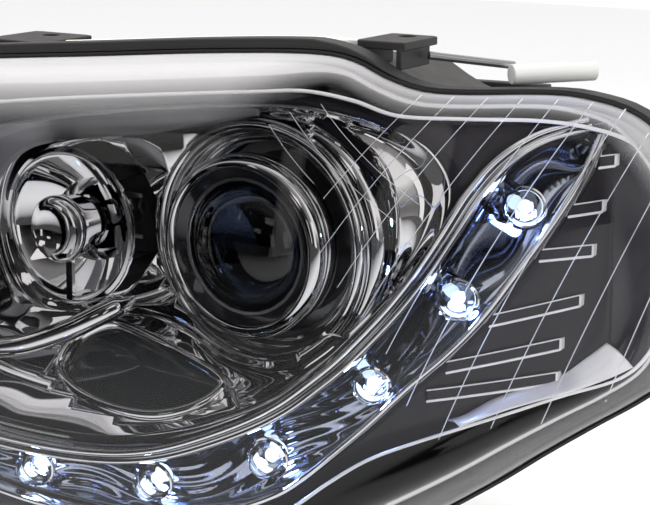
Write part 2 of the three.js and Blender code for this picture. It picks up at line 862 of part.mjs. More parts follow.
LED_PLACES.forEach((share, index) => {
  const radius = ledRadius(share);
  const profile = [
    [0, 0],
    [radius - 2, 0],
    [radius, LED_LENGTH - 5],
    [radius, LED_LENGTH - 1],
    [radius - 3, LED_LENGTH],
    [0, LED_LENGTH],
  ];
  add(`led_lens_${index + 1}`, onLed(share, profile, 14), "clear");
});

add(
  "led_board",
  strip(besideLine(upperLine, -3), besideLine(lowerLine, 3), CHANNEL_FLOOR + 8.5, CHANNEL_FLOOR + 9.7, 0.06, 0.93),
  "board",
);

function ledTrim() {
  const rail = (line, outward, inward) =>
    strip(besideLine(line, outward), besideLine(line, inward), TRIM_FRONT, TRIM_BACK);
  const end = strip(besideLine(upperLine, 4), besideLine(lowerLine, -1.5), TRIM_FRONT, TRIM_BACK, 0.965, 1);
  return join(rail(upperLine, 5, -2), rail(lowerLine, 2, -2), end);
}
add("led_trim", ledTrim(), "chrome");

// ---------------------------------------------------------------- projector, on the carrier
const OUTER_RING = [
  [INNER_RING_RADIUS + AIM_GAP + 0.4, 11],
  [55.5, 9.2],
  [57.5, 9],
  [58.5, 10.6],
  [OUTER_RING_RADIUS, 11],
  [OUTER_RING_RADIUS, FLOOR_Y - FIT_GAP],
  [56.4, FLOOR_Y - FIT_GAP],
  [56.4, 24],
  [INNER_RING_RADIUS + AIM_GAP + 0.4, 24],
  [INNER_RING_RADIUS + AIM_GAP + 0.4, 11],
];
add("outer_ring", turned(OUTER_RING), "chrome");

const domeY = (radius) => -PROJECTOR_LENS_DOME * (1 - (radius / PROJECTOR_LENS_RADIUS) ** 2);
add(
  "projector_lens",
  turned([
    [0, domeY(0)],
    ...[0.3, 0.55, 0.75, 0.9, 1].map((share) => {
      const radius = PROJECTOR_LENS_RADIUS * share;
      return [radius, domeY(radius)];
    }),
    [34, 0],
    [34, 4],
    [0, 4],
  ]),
  "clear",
);
add(
  "lens_holder",
  turned([
    [32.8, -2],
    [36.5, -2],
    [36.5, 14],
    [42, BOWL_FLANGE_Y - 4],
    [49, BOWL_FLANGE_Y - 4],
    [49, BOWL_FLANGE_Y - FIT_GAP],
    [39.5, BOWL_FLANGE_Y - FIT_GAP],
    [34.4, 14],
    [34.4, -FIT_GAP],
    [32.8, -FIT_GAP],
    [32.8, -2],
  ]),
  "steel",
);
add(
  "projector_shroud",
  turned([
    [37, -1.2],
    [41, -5.6],
    [41, -4.2],
    [38.4, -0.6],
    [38.4, 8],
    [37, 8],
    [37, -1.2],
  ]),
  "gloss_black",
);
add(
  "inner_ring",
  turned([
    [41.4, -5.6],
    [43, -6.6],
    [45, -6.2],
    [INNER_RING_RADIUS, -4.6],
    [INNER_RING_RADIUS, 16],
    [44.6, 16],
    [44.6, 12],
    [37, 12],
    [37, 10],
    [44.6, 10],
    [44.6, -3],
    [41.4, -3.4],
    [41.4, -5.6],
  ]),
  "chrome",
);
const lowerHalf = Array.from({ length: 13 }, (_, i) => {
  const angle = Math.PI + (Math.PI * i) / 12;
  return far(37 * Math.cos(angle), 37 * Math.sin(angle));
});
add("shutter", solidOf(extruded(lowerHalf, 34, 35)), "steel");
add(
  "projector_reflector",
  turned([
    [43, BOWL_FLANGE_Y],
    [49, BOWL_FLANGE_Y],
    [49, BOWL_FLANGE_Y + 3.5],
    [45, BOWL_FLANGE_Y + 3.6],
    [42, 60],
    [33.5, 76],
    [22, 86],
    [22, 96],
    [BULB_HOLE_RADIUS, 96],
    [BULB_HOLE_RADIUS, 88.5],
    [19, 84.5],
    [31, 73.5],
    [39.5, 59],
    [43, 46],
    [43, BOWL_FLANGE_Y],
  ]),
  "chrome",
);

// A bulb stands on its flange: glass to the front, plug to the back.
function bulb(x, flange, z, tip, tail) {
  return turned(
    [
      [0, tip],
      [3.5, tip + 0.6],
      [5.2, tip + 3],
      [5.2, flange - 10],
      [10.4, flange - 8],
      [10.4, flange],
      [14, flange],
      [14, flange + 3.6],
      [8, flange + 3.6],
      [8, tail],
      [0, tail],
    ],
    new THREE.Vector3(x, 0, z),
    14,
  );
}
add("low_bulb", bulb(0, 96 + FIT_GAP, 0, 58, 116), "clear");

// A spring yoke that lies over the bulb's flange, turning about a barrel at its inboard end.
function yoke(x, seat, z) {
  const barrel = solidOf(
    new THREE.CylinderGeometry(1.4, 1.4, 25, 10).rotateX(Math.PI / 2).translate(x - 19, seat + 2, z),
  );
  const arms = [-1, 1].map((side) => box(36, 1.6, 2, x - 1, seat + 5.4, z + side * 11));
  const risers = [-1, 1].map((side) => box(1.8, 4.6, 2, x - 18.9, seat + 3.9, z + side * 11));
  return join(barrel, ...arms, ...risers);
}
add("low_clip", yoke(0, 96, 0), "steel");

// ---------------------------------------------------------------- high beam, on the carrier
const bowlY = (radius) => HIGH_BEAM.y + HIGH_BEAM_FOCUS - (radius * radius) / (4 * HIGH_BEAM_FOCUS);
const BOWL_WALL = 2.6;
const HIGH_SEAT = 22;
function highBowl() {
  const radii = [BULB_HOLE_RADIUS, 18, 25, 32, 37, HIGH_BEAM_RADIUS];
  return turned(
    [
      ...radii.map((radius) => [radius, bowlY(radius)]),
      [HIGH_BEAM_RADIUS + 2.4, HIGH_BEAM.y],
      [HIGH_BEAM_RADIUS + 2.4, HIGH_BEAM.y + 3],
      [37, bowlY(37) + BOWL_WALL + 1],
      [30, bowlY(30) + BOWL_WALL + 0.4],
      [22, bowlY(22) + BOWL_WALL],
      [15, bowlY(13) + BOWL_WALL],
      [15, HIGH_SEAT - 3],
      [22, HIGH_SEAT - 3],
      [22, HIGH_SEAT],
      [BULB_HOLE_RADIUS, HIGH_SEAT],
      [BULB_HOLE_RADIUS, bowlY(BULB_HOLE_RADIUS)],
    ],
    new THREE.Vector3(HIGH_BEAM.x, 0, HIGH_BEAM.z),
    24,
  );
}
add("high_beam_reflector", highBowl(), "chrome");
add("high_bulb", bulb(HIGH_BEAM.x, HIGH_SEAT + FIT_GAP, HIGH_BEAM.z, -16, 42), "clear");
add("high_clip", yoke(HIGH_BEAM.x, HIGH_SEAT, HIGH_BEAM.z), "steel");

// The bulb's cap is a dome on a strut that rises from the bowl's rim.
function bulbCap() {
  const dome = turned(
    [
      [0, -37],
      [6, -36],
      [11, -32.5],
      [14, -27],
      [15, -20],
      [17.5, -18.5],
      [17.5, -15.5],
      [15, -14.5],
      [13.4, -15],
      [13.4, -20],
      [12.4, -26.4],
      [9.8, -31],
      [5.4, -34.2],
      [0, -35],
    ],
    new THREE.Vector3(HIGH_BEAM.x, 0, HIGH_BEAM.z),
    20,
  );
  const front = HIGH_BEAM.y - 3;
  return join(
    dome,
    box(4, 2.4, 27, HIGH_BEAM.x, front + 0.8, HIGH_BEAM.z - 29),
  );
}
add("high_beam_cap", bulbCap(), "chrome");

// ---------------------------------------------------------------- carrier and aiming gear
const ball = (place, radius) => {
  const geometry = new THREE.SphereGeometry(radius, 12, 8).rotateX(Math.PI / 2);
  return solidOf(geometry.translate(place.x, place.y, place.z));
};
const POCKET = BALL_RADIUS + 0.8;
function socketBlock(place) {
  const block = rod(9, PLATE_Y + PLATE - 1, PLATE_Y + PLATE + 20.4, place.x, place.z, 20);
  return cut(block, ball(place, POCKET), rod(5.3, place.y, place.y + 20, place.x, place.z, 16));
}
function carrier() {
  const plate = (width, height, x, z) => box(width, PLATE, height, x, PLATE_Y + PLATE / 2, z);
  const ring = (outer, inner, x) => [
    rod(outer, PLATE_Y, PLATE_Y + PLATE, x, 0, 24),
    rod(inner, PLATE_Y - 5, PLATE_Y + PLATE + 5, x, 0, 24),
  ];
  const [lowDisc, lowHole] = ring(58, 46.4, 0);
  const [highDisc, highHole] = ring(46, 26, HIGH_BEAM.x);
  const posts = [0, 1, 2].map((i) => {
    const angle = ((60 + 120 * i) * Math.PI) / 180;
    const x = HIGH_BEAM.x + 30 * Math.cos(angle);
    return rod(4, bowlY(25) + BOWL_WALL + 1.6, PLATE_Y + 1, x, 30 * Math.sin(angle), 12);
  });
  const ears = [-1, 1].map((side) => {
    const ear = box(4, 26, 18, PIVOT.x + side * 12.4, PLATE_Y + PLATE + 11, PIVOT.z);
    const hole = new THREE.CylinderGeometry(3.5, 3.5, 8, 16).rotateZ(Math.PI / 2);
    return cut(ear, solidOf(hole.translate(PIVOT.x + side * 12.4, PIVOT.y, PIVOT.z)));
  });
  const body = join(
    plate(60, 44, -52, 0),
    lowDisc,
    highDisc,
    plate(14, 78, PIVOT.x, 22),
    box(12, PLATE, 67, PIVOT.x - 1, PLATE_Y + 3.9 + PLATE / 2, -45.5),
    plate(40, 16, 56, 22),
    plate(40, 16, 56, -22),
    plate(32, 22, PIVOT.x, PIVOT.z),
    plate(82, 16, AIM_PLACE.x + 32, AIM_PLACE.z),
    plate(16, 30, HIGH_BEAM.x, 40),
    plate(20, 20, AIM_PLACE.x, AIM_PLACE.z),
  );
  return join(
    cut(body, lowHole, highHole),
    ...posts,
    ...ears,
    cut(socketBlock(LEVEL_PLACE)),
    cut(socketBlock(AIM_PLACE)),
  );
}
add("carrier_frame", carrier(), "housing_black");

function pivotSocket() {
  const block = box(18, 18, 18, PIVOT.x, PIVOT.y, PIVOT.z);
  const pins = [-1, 1].map((side) =>
    solidOf(
      new THREE.CylinderGeometry(3, 3, 8, 14).rotateZ(Math.PI / 2).translate(PIVOT.x + side * 12, PIVOT.y, PIVOT.z),
    ),
  );
  return cut(join(block, ...pins), ball(PIVOT, POCKET), rod(5.4, PIVOT.y, PIVOT.y + 20, PIVOT.x, PIVOT.z, 16));
}
add("pivot_socket", pivotSocket(), "white_plastic");

const pivotBack = backY(PIVOT.x) + 2;
add(
  "pivot_stud",
  join(
    ball(PIVOT, BALL_RADIUS),
    rod(4, PIVOT.y + 2, pivotBack, PIVOT.x, PIVOT.z, 14),
    rod(8, pivotBack, pivotBack + 5, PIVOT.x, PIVOT.z, 6),
  ),
  "steel",
);
add(
  "level_stem",
  join(
    ball(LEVEL_PLACE, BALL_RADIUS),
    rod(4, LEVEL_PLACE.y + 2, BACK_Y + 26, LEVEL_PLACE.x, LEVEL_PLACE.z, 14),
  ),
  "white_plastic",
);
const MOTOR = { front: BACK_Y + 16, back: BACK_Y + 46, width: 40, height: 40 };
add(
  "level_motor",
  cut(
    join(
      box(MOTOR.width, MOTOR.back - MOTOR.front, MOTOR.height, LEVEL_PLACE.x, (MOTOR.front + MOTOR.back) / 2, LEVEL_PLACE.z),
      rod(MOTOR_BOSS, BACK_Y, MOTOR.front + 1, LEVEL_PLACE.x, LEVEL_PLACE.z),
    ),
    rod(4.6, BACK_Y - 12, BACK_Y + 36, LEVEL_PLACE.x, LEVEL_PLACE.z, 14),
    rod(3.4, BACK_Y + 38, BACK_Y + 53, LEVEL_PLACE.x, LEVEL_PLACE.z, 14),
  ),
  "housing_black",
);
function slottedHead(place, front, back, radius) {
  const head = rod(radius, front, back, place.x, place.z, 6);
  return cut(head, box(radius * 3, 3, 2.4, place.x, back, place.z));
}
add(
  "level_screw",
  join(rod(3, MOTOR.back - 7, MOTOR.back + 1, LEVEL_PLACE.x, LEVEL_PLACE.z, 14), slottedHead(LEVEL_PLACE, MOTOR.back + 0.5, MOTOR.back + 9, 8)),
  "white_plastic",
);
add(
  "aim_stem",
  cut(
    join(
      ball(AIM_PLACE, BALL_RADIUS),
      rod(4, AIM_PLACE.y + 2, AIM_PLACE.y + 12, AIM_PLACE.x, AIM_PLACE.z, 16),
      rod(4.9, AIM_PLACE.y + 10, AIM_BOSS[2] - 16, AIM_PLACE.x, AIM_PLACE.z, 16),
    ),
    rod(3.4, AIM_BOSS[2] - 44, AIM_BOSS[2] - 12, AIM_PLACE.x, AIM_PLACE.z, 14),
  ),
  "white_plastic",
);
add(
  "aim_screw",
  join(rod(2.9, AIM_BOSS[2] - 32, AIM_BOSS[2] + 1, AIM_PLACE.x, AIM_PLACE.z, 14), slottedHead(AIM_PLACE, AIM_BOSS[2] + 0.5, AIM_BOSS[2] + 10, 9)),
  "white_plastic",
);

// ---------------------------------------------------------------- rear covers and fittings
function rearCap(axis, radius, grips) {
  const back = neckBack(axis, radius) + FIT_GAP;
  const cup = turned(
    [
      [radius + 0.6, back - CAP_DEPTH],
      [radius + 3.4, back - CAP_DEPTH],
      [radius + 3.4, back + 1],
      [radius + 1.4, back + 3],
      [0, back + 3],
      [0, back],
      [radius + 0.6, back],
      [radius + 0.6, back - CAP_DEPTH],
    ],
    axis,
    24,
  );
  return join(cup, box(radius * 1.5, 12, 7, axis.x, back + 8, axis.z), ...grips);
}
add("low_cap", rearCap(LOW_AXIS, LOW_CAP_RADIUS, []), "rubber");
add("high_cap", rearCap(HIGH_AXIS, HIGH_CAP_RADIUS, []), "rubber");

const holderBack = neckBack(INDICATOR_AXIS, INDICATOR_PORT);
add(
  "turn_bulb_holder",
  join(
    turned(
      [
        [0, 20],
        [9, 20],
        [9, holderBack - 14],
        [14.5, holderBack - 12],
        [14.5, holderBack + FIT_GAP],
        [20, holderBack + FIT_GAP],
        [20, holderBack + 4],
        [0, holderBack + 4],
      ],
      INDICATOR_AXIS,
      20,
    ),
    box(28, 12, 6, INDICATOR_AXIS.x, holderBack + 9, INDICATOR_AXIS.z),
  ),
  "grey_plastic",
);
add(
  "turn_bulb",
  turned(
    [
      [0, -5],
      [5, -3.6],
      [8.4, 1],
      [9, 6],
      [7, 13],
      [5.5, 20 - FIT_GAP],
      [0, 20 - FIT_GAP],
    ],
    INDICATOR_AXIS,
    16,
  ),
  "amber",
);

const onBack = (x) => backY(x) + FIT_GAP;
// A box seated square on the sloping rear wall.
function seated(width, depth, height, x, z, lift = 0) {
  const slope = Math.atan(BACK_SLOPE);
  const geometry = new THREE.BoxGeometry(width, depth, height);
  return geometry.translate(0, depth / 2 + lift, 0).rotateZ(slope).translate(x, onBack(x), z);
}
function seatedRod(radius, depth, x, z, lift = 0, segments = 18) {
  const slope = Math.atan(BACK_SLOPE);
  const geometry = new THREE.CylinderGeometry(radius, radius, depth, segments);
  return solidOf(geometry.translate(0, depth / 2 + lift, 0).rotateZ(slope).translate(x, onBack(x), z));
}
const DRIVER = { x: -120, z: -92, width: 58, height: 42, depth: 11 };
add(
  "led_driver",
  cut(
    solidOf(seated(DRIVER.width, DRIVER.depth, DRIVER.height, DRIVER.x, DRIVER.z)),
    ...[-16, -8, 0, 8, 16].map((shift) => solidOf(seated(3, 6, 60, DRIVER.x + shift, DRIVER.z, 7))),
  ),
  "steel",
);
[-1, 1].forEach((side, index) => {
  add(
    `driver_screw_${index + 1}`,
    seatedRod(3.2, 2.4, DRIVER.x + side * 24, DRIVER.z, DRIVER.depth + 0.6, 6),
    "steel",
  );
});
const SOCKET = { x: -176, z: -22, width: 24, height: 44, depth: 22 };
add(
  "connector_socket",
  join(
    cut(
      solidOf(seated(SOCKET.width, SOCKET.depth, SOCKET.height, SOCKET.x, SOCKET.z)),
      solidOf(seated(SOCKET.width - 4, SOCKET.depth, SOCKET.height - 4, SOCKET.x, SOCKET.z, 4)),
    ),
    ...[-12, -4, 4, 12].map((shift) => solidOf(seated(2, 12, 2, SOCKET.x, SOCKET.z + shift, 3))),
  ),
  "housing_black",
);
[
  [-48, 58],
  [14, -108],
].forEach(([x, z], index) => {
  add(`vent_cap_${index + 1}`, join(seatedRod(7, 10, x, z), seatedRod(11, 5, x, z, 9)), "rubber");
});
[-1, 1].forEach((side, index) => {
  const x = LEVEL_PLACE.x + side * 15;
  const z = LEVEL_PLACE.z + 15;
  add(`motor_screw_${index + 1}`, rod(3.2, MOTOR.back + FIT_GAP, MOTOR.back + 2.8, x, z, 6), "steel");
});

// Locating pin and peg that stand out behind the cover's outboard shoulder.
function leaning(radius, length, from, to, segments) {
  const direction = to.clone().sub(from).normalize();
  const turn = new THREE.Quaternion().setFromUnitVectors(new THREE.Vector3(0, 1, 0), direction);
  const geometry = new THREE.CylinderGeometry(radius, radius, length, segments).translate(0, length / 2, 0);
  return solidOf(geometry.applyQuaternion(turn).translate(from.x, from.y, from.z));
}
add("locating_pin", leaning(2, 44, new THREE.Vector3(74, 46, 94), new THREE.Vector3(104, 78, 88), 10), "steel");
add("locating_peg", leaning(5, 44, new THREE.Vector3(106, 70, 84.6), new THREE.Vector3(136, 106, 85), 14), "grey_plastic");

// ---------------------------------------------------------------- origin
const ORIGIN = TOP_TABS[0];
lamp.position.set(-ORIGIN.x, -(ORIGIN.front + ORIGIN.depth / 2), -ORIGIN.top);

export default lamp;
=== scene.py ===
# %% [markdown]
# # A car headlight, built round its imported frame
# The CAD pieces give the true sizes and the joints. This file builds the surfaces the eye sees, such as
# the clear cover, the mirror-bright bezel and the running lights, each made as one piece that rides on
# the CAD body it belongs to. Shapes are given in millimetres from the low-beam axis; the camera, the floor
# and the lights are in metres.

# %% Load the frame
import math
import json
import bpy
import bmesh
from mathutils import Vector, Matrix


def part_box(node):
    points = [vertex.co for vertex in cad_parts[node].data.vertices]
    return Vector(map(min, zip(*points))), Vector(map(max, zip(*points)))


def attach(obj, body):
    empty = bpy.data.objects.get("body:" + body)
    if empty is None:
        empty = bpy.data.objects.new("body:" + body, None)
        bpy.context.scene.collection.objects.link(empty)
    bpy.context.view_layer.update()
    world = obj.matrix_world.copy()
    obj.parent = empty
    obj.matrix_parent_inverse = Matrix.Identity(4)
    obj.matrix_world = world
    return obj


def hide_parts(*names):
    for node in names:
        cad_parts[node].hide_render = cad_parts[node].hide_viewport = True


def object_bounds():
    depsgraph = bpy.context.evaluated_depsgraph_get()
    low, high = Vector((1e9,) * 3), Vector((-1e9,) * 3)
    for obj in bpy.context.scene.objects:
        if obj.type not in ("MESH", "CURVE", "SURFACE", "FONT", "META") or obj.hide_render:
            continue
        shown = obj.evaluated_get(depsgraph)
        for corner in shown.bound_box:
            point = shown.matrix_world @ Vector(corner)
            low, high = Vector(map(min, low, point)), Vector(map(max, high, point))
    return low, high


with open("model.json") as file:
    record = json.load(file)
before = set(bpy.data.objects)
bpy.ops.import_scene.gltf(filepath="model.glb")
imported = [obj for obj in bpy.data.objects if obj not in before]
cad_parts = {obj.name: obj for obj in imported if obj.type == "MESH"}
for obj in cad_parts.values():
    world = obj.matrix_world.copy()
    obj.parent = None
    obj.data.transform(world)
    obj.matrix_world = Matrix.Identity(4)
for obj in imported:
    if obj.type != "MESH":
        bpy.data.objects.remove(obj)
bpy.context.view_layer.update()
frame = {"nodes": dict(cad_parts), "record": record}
lens_low, lens_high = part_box("projector_lens")
LAMP = Vector(((lens_low.x + lens_high.x) / 2, lens_high.y - 0.004, (lens_low.z + lens_high.z) / 2))


def spot(x, y, z):
    """A point given in lamp millimetres, in the frame's metres."""
    return LAMP + Vector((x, y, z)) / 1000


print("lamp centre", tuple(round(v, 4) for v in LAMP))

# %% [markdown]
# ## Camera
# The lamp is seen from outboard and a little above. The lens is long and the frame is shifted sideways,
# so the low beam stands left of the middle, while its circles keep their true ellipses.

# %% Camera
AZIMUTH, ELEVATION, DISTANCE = math.radians(34), math.radians(13), 0.9
SENSOR_WIDTH = 36
VIEW_WIDTH = 0.3185  # metres seen across the frame at the low beam
SHIFT_RIGHT, SHIFT_UP = 0.121538, -0.01  # shares of the frame's width
BACK = Vector((
    math.sin(AZIMUTH) * math.cos(ELEVATION),
    -math.cos(AZIMUTH) * math.cos(ELEVATION),
    math.sin(ELEVATION),
))
camera_data = bpy.data.cameras.new("camera")
camera_data.sensor_width = SENSOR_WIDTH
camera_data.lens = SENSOR_WIDTH * DISTANCE / VIEW_WIDTH
camera_data.shift_x, camera_data.shift_y = SHIFT_RIGHT, SHIFT_UP
camera = bpy.data.objects.new("camera", camera_data)
bpy.context.scene.collection.objects.link(camera)
camera.location = LAMP + BACK * DISTANCE
camera.rotation_mode = "QUATERNION"
camera.rotation_quaternion = (-BACK).to_track_quat("-Z", "Y")
bpy.context.scene.camera = camera
print("focal length", round(camera_data.lens, 1))

# %% [markdown]
# ## Finishes
# A headlight is nearly all reflection, so the finishes are few and the light matters most. Metallised
# plastic is a metal shader with very low roughness. Clear plastic is a see-through shader that takes on
# a mirror reflection as the surface turns away, which is what Fresnel does.


# %% Finishes
def node_finish(name):
    made = bpy.data.materials.new(name)
    made.use_nodes = True
    nodes, links = made.node_tree.nodes, made.node_tree.links
    nodes.clear()
    out = nodes.new("ShaderNodeOutputMaterial")
    return made, nodes, links, out


def added(nodes, kind, **values):
    """Adds a shader node and sets its inputs; an underscore in a name stands for a space."""
    made = nodes.new("ShaderNode" + kind)
    for name, value in values.items():
        made.inputs[name.replace("_", " ")].default_value = value
    return made


def noise_between(nodes, links, scale, low, high, detail=3.0):
    """A soft mottle that runs from low to high, on the piece's own coordinates."""
    where = added(nodes, "TexCoord")
    noise = added(nodes, "TexNoise", Scale=scale, Detail=detail)
    span = added(nodes, "MapRange", To_Min=low, To_Max=high)
    links.new(where.outputs["Object"], noise.inputs["Vector"])
    links.new(noise.outputs["Fac"], span.inputs["Value"])
    return span.outputs["Result"]


def solid_finish(name, colour, roughness, metallic=0.0, spread=0.05, grain=90.0, bump=0.0, coat=0.0,
                 tone=0.12, specular=0.5):
    """Plastic, rubber or metal with a slight mottle in colour and roughness and a fine moulded grain."""
    made, nodes, links, out = node_finish(name)
    shader = added(nodes, "BsdfPrincipled", Metallic=metallic, Coat_Weight=coat, Coat_Roughness=0.05)
    shader.inputs["Specular IOR Level"].default_value = specular
    rough = noise_between(nodes, links, grain, max(roughness - spread, 0.0), roughness + spread)
    links.new(rough, shader.inputs["Roughness"])
    ramp = nodes.new("ShaderNodeMix")
    ramp.data_type = "RGBA"
    ramp.inputs["A"].default_value = (*[c * (1 - tone) for c in colour], 1)
    ramp.inputs["B"].default_value = (*[min(c * (1 + tone), 1) for c in colour], 1)
    patches = noise_between(nodes, links, grain * 0.13, 0.0, 1.0, 2.0)
    links.new(patches, ramp.inputs["Factor"])
    links.new(ramp.outputs["Result"], shader.inputs["Base Color"])
    if bump:
        rise = added(nodes, "Bump", Strength=bump, Distance=0.0002)
        height = noise_between(nodes, links, grain * 12, 0.0, 1.0, 2.0)
        links.new(height, rise.inputs["Height"])
        links.new(rise.outputs["Normal"], shader.inputs["Normal"])
    links.new(shader.outputs["BSDF"], out.inputs["Surface"])
    return made


def clear_finish(name, tint, roughness=0.0, ior=1.5, haze=0.0, haze_colour=(0.8, 0.8, 0.82)):
    """Thin clear plastic: what is behind shows through, with a mirror reflection that grows at a slant."""
    made, nodes, links, out = node_finish(name)
    through = added(nodes, "BsdfTransparent", Color=(*tint, 1))
    mirror = added(nodes, "BsdfGlossy", Roughness=roughness)
    slant = added(nodes, "Fresnel", IOR=ior)
    both = added(nodes, "MixShader")
    links.new(slant.outputs["Fac"], both.inputs["Fac"])
    links.new(through.outputs["BSDF"], both.inputs[1])
    links.new(mirror.outputs["BSDF"], both.inputs[2])
    last = both
    if haze:
        pale_diffuse = added(nodes, "BsdfDiffuse", Color=(*haze_colour, 1))
        haze_and_painted_sheen = added(nodes, "MixShader", Fac=haze)
        links.new(both.outputs["Shader"], haze_and_painted_sheen.inputs[1])
        links.new(pale_diffuse.outputs["BSDF"], haze_and_painted_sheen.inputs[2])
        last = haze_and_painted_sheen
    links.new(last.outputs["Shader"], out.inputs["Surface"])
    return made


def glow_finish(name, colour, strength):
    made, nodes, links, out = node_finish(name)
    glow = added(nodes, "Emission", Color=(*colour, 1), Strength=strength)
    links.new(glow.outputs["Emission"], out.inputs["Surface"])
    return made


bright_chrome = solid_finish("bright_chrome", (0.86, 0.86, 0.87), 0.03, 1.0, spread=0.015, grain=40,
    tone=0.02)
smoked_chrome = solid_finish("smoked_chrome", (0.34, 0.33, 0.36), 0.05, 1.0, spread=0.02, grain=40,
    tone=0.04)
panel_dark = solid_finish("panel_dark", (0.017, 0.015, 0.019), 0.2, spread=0.05, grain=60, coat=0.15,
    specular=0.12)
# Light grey for strips and a ledge that stand in for highlights: painted highlights.
painted_highlight_grey = solid_finish("painted_highlight_grey", (0.8, 0.79, 0.8), 0.25, 0.25, spread=0.04, grain=30, tone=0.03)
satin_grey = solid_finish("satin_grey", (0.36, 0.35, 0.37), 0.32, 0.75, spread=0.04, grain=30, tone=0.03)
smoked_glass = solid_finish("smoked_glass", (0.012, 0.015, 0.016), 0.05, spread=0.02, grain=20, coat=0.6)
# Chrome tinted blue: the blue is a painted cast of the running lights' glow.
chrome_painted_blue = solid_finish("chrome_painted_blue", (0.46, 0.5, 0.6), 0.05, 1.0, spread=0.02, grain=40, tone=0.03)
frame_dark = solid_finish("frame_dark", (0.035, 0.034, 0.04), 0.16, 0.3, spread=0.04, grain=40, tone=0.02)
housing_black = solid_finish("housing_black", (0.022, 0.022, 0.024), 0.48, spread=0.08, bump=0.35)
seal_rubber = solid_finish("seal_rubber", (0.006, 0.006, 0.007), 0.5, spread=0.1, bump=0.2)
cap_rubber = solid_finish("cap_rubber", (0.014, 0.014, 0.015), 0.62, spread=0.1, bump=0.3)
pale_foam = solid_finish("pale_foam", (0.8, 0.78, 0.74), 0.85, spread=0.08, grain=160, bump=0.5)
zinc_steel = solid_finish("zinc_steel", (0.6, 0.6, 0.62), 0.3, 1.0, spread=0.08)
cast_aluminium = solid_finish("cast_aluminium", (0.66, 0.66, 0.68), 0.42, 1.0, spread=0.08, bump=0.3)
gloss_black = solid_finish("gloss_black", (0.01, 0.01, 0.012), 0.08, spread=0.03, coat=0.5)
grey_plastic = solid_finish("grey_plastic", (0.58, 0.58, 0.57), 0.42, spread=0.06, bump=0.2)
white_plastic = solid_finish("white_plastic", (0.82, 0.82, 0.8), 0.35, spread=0.05, bump=0.1)
board_white = solid_finish("board_white", (0.75, 0.78, 0.8), 0.4, spread=0.05)
etched_white = clear_finish("etched_white", (1, 1, 1), haze=0.7, haze_colour=(0.92, 0.92, 0.95))
cover_clear = clear_finish("cover_clear", (0.98, 0.98, 0.985), ior=1.34)


def with_painted_sheen(material, colour):
    """Adds a pale diffuse layer over a clear finish, as strong as the piece's haze_and_painted_sheen
    attribute says: a painted sheen.
    """
    nodes, links = material.node_tree.nodes, material.node_tree.links
    out = next(n for n in nodes if n.type == "OUTPUT_MATERIAL")
    under = out.inputs["Surface"].links[0].from_socket
    amount = nodes.new("ShaderNodeAttribute")
    amount.attribute_name = "haze_and_painted_sheen"
    pale_diffuse = added(nodes, "BsdfDiffuse", Color=(*colour, 1))
    glow = added(nodes, "BsdfTranslucent", Color=(*colour, 1))
    body = added(nodes, "MixShader", Fac=0.4)
    links.new(pale_diffuse.outputs["BSDF"], body.inputs[1])
    links.new(glow.outputs["BSDF"], body.inputs[2])
    over = added(nodes, "MixShader")
    links.new(amount.outputs["Fac"], over.inputs["Fac"])
    links.new(under, over.inputs[1])
    links.new(body.outputs["Shader"], over.inputs[2])
    links.new(over.outputs["Shader"], out.inputs["Surface"])
    return material


# The cover's rolled edge gets a pale layer as a painted sheen, in place of its reflection of the bright
# room above.
with_painted_sheen(cover_clear, (0.86, 0.85, 0.87))
led_clear = clear_finish("led_clear", (0.97, 0.98, 1.0), ior=1.6)
amber_clear = clear_finish("amber_clear", (0.95, 0.42, 0.06), ior=1.5)
bulb_clear = clear_finish("bulb_clear", (0.95, 0.96, 0.97), ior=1.5)
led_glow = glow_finish("led_glow", (0.72, 0.85, 1.0), 2.6)
print("finishes", len(bpy.data.materials))

# %% [markdown]
# ## Making surfaces
# Most of the lamp's skins follow a closed outline, or run between two curves. Both start from Blender's
# grid operator: the grid's two directions become "round" and "inwards", and each point is moved to its
# place. Where the grid closes on itself, its seam is merged. Round pieces are a profile that is spun.


# %% Helpers that make surfaces
def finish_mesh(name, bm, material, body, slot, angle=35):
    """Makes the piece: its mesh, its finish and the body it rides on; slot is not used."""
    bmesh.ops.recalc_face_normals(bm, faces=bm.faces)
    mesh = bpy.data.meshes.new(name)
    bm.to_mesh(mesh)
    bm.free()
    mesh.shade_smooth()
    mesh.set_sharp_from_angle(angle=math.radians(angle))
    piece = bpy.data.objects.new(name, mesh)
    bpy.context.scene.collection.objects.link(piece)
    mesh.materials.append(material)
    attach(piece, body)
    return piece


def moulded(name, bm, angle=40):
    return finish_mesh(name, bm, housing_black, "lamp_body", "housing_black", angle)


def plated(name, bm, body, angle):
    return finish_mesh(name, bm, bright_chrome, body, "chrome", angle)


def held(value):
    """A value held between 0 and 1."""
    return min(max(value, 0), 1)


def sheet_between(columns, rows, place, closed=False, haze_and_painted_sheen=None):
    """A grid whose points are moved to place(u, v); closed joins its first and last column."""
    bm = bmesh.new()
    bmesh.ops.create_grid(bm, x_segments=columns, y_segments=rows, size=1)
    # The optional per-point layer holds the amount of painted sheen on the cover.
    layer = bm.verts.layers.float.new("haze_and_painted_sheen") if haze_and_painted_sheen else None
    for vert in bm.verts:
        u, v = (vert.co.x + 1) / 2, (vert.co.y + 1) / 2
        vert.co = place(u, v)
        if haze_and_painted_sheen:
            vert[layer] = haze_and_painted_sheen(u, v)
    if closed:
        bmesh.ops.remove_doubles(bm, verts=bm.verts, dist=1e-6)
    return bm


def thickened(piece, depth, offset=-1.0):
    wall = piece.modifiers.new("wall", "SOLIDIFY")
    wall.thickness = depth / 1000
    wall.offset = offset
    wall.use_even_offset = False
    return piece


def softened(piece, width, segments=3, angle=32):
    edge = piece.modifiers.new("edge", "BEVEL")
    edge.width = width / 1000
    edge.segments = segments
    edge.limit_method = "ANGLE"
    edge.angle_limit = math.radians(angle)
    edge.harden_normals = False
    return piece


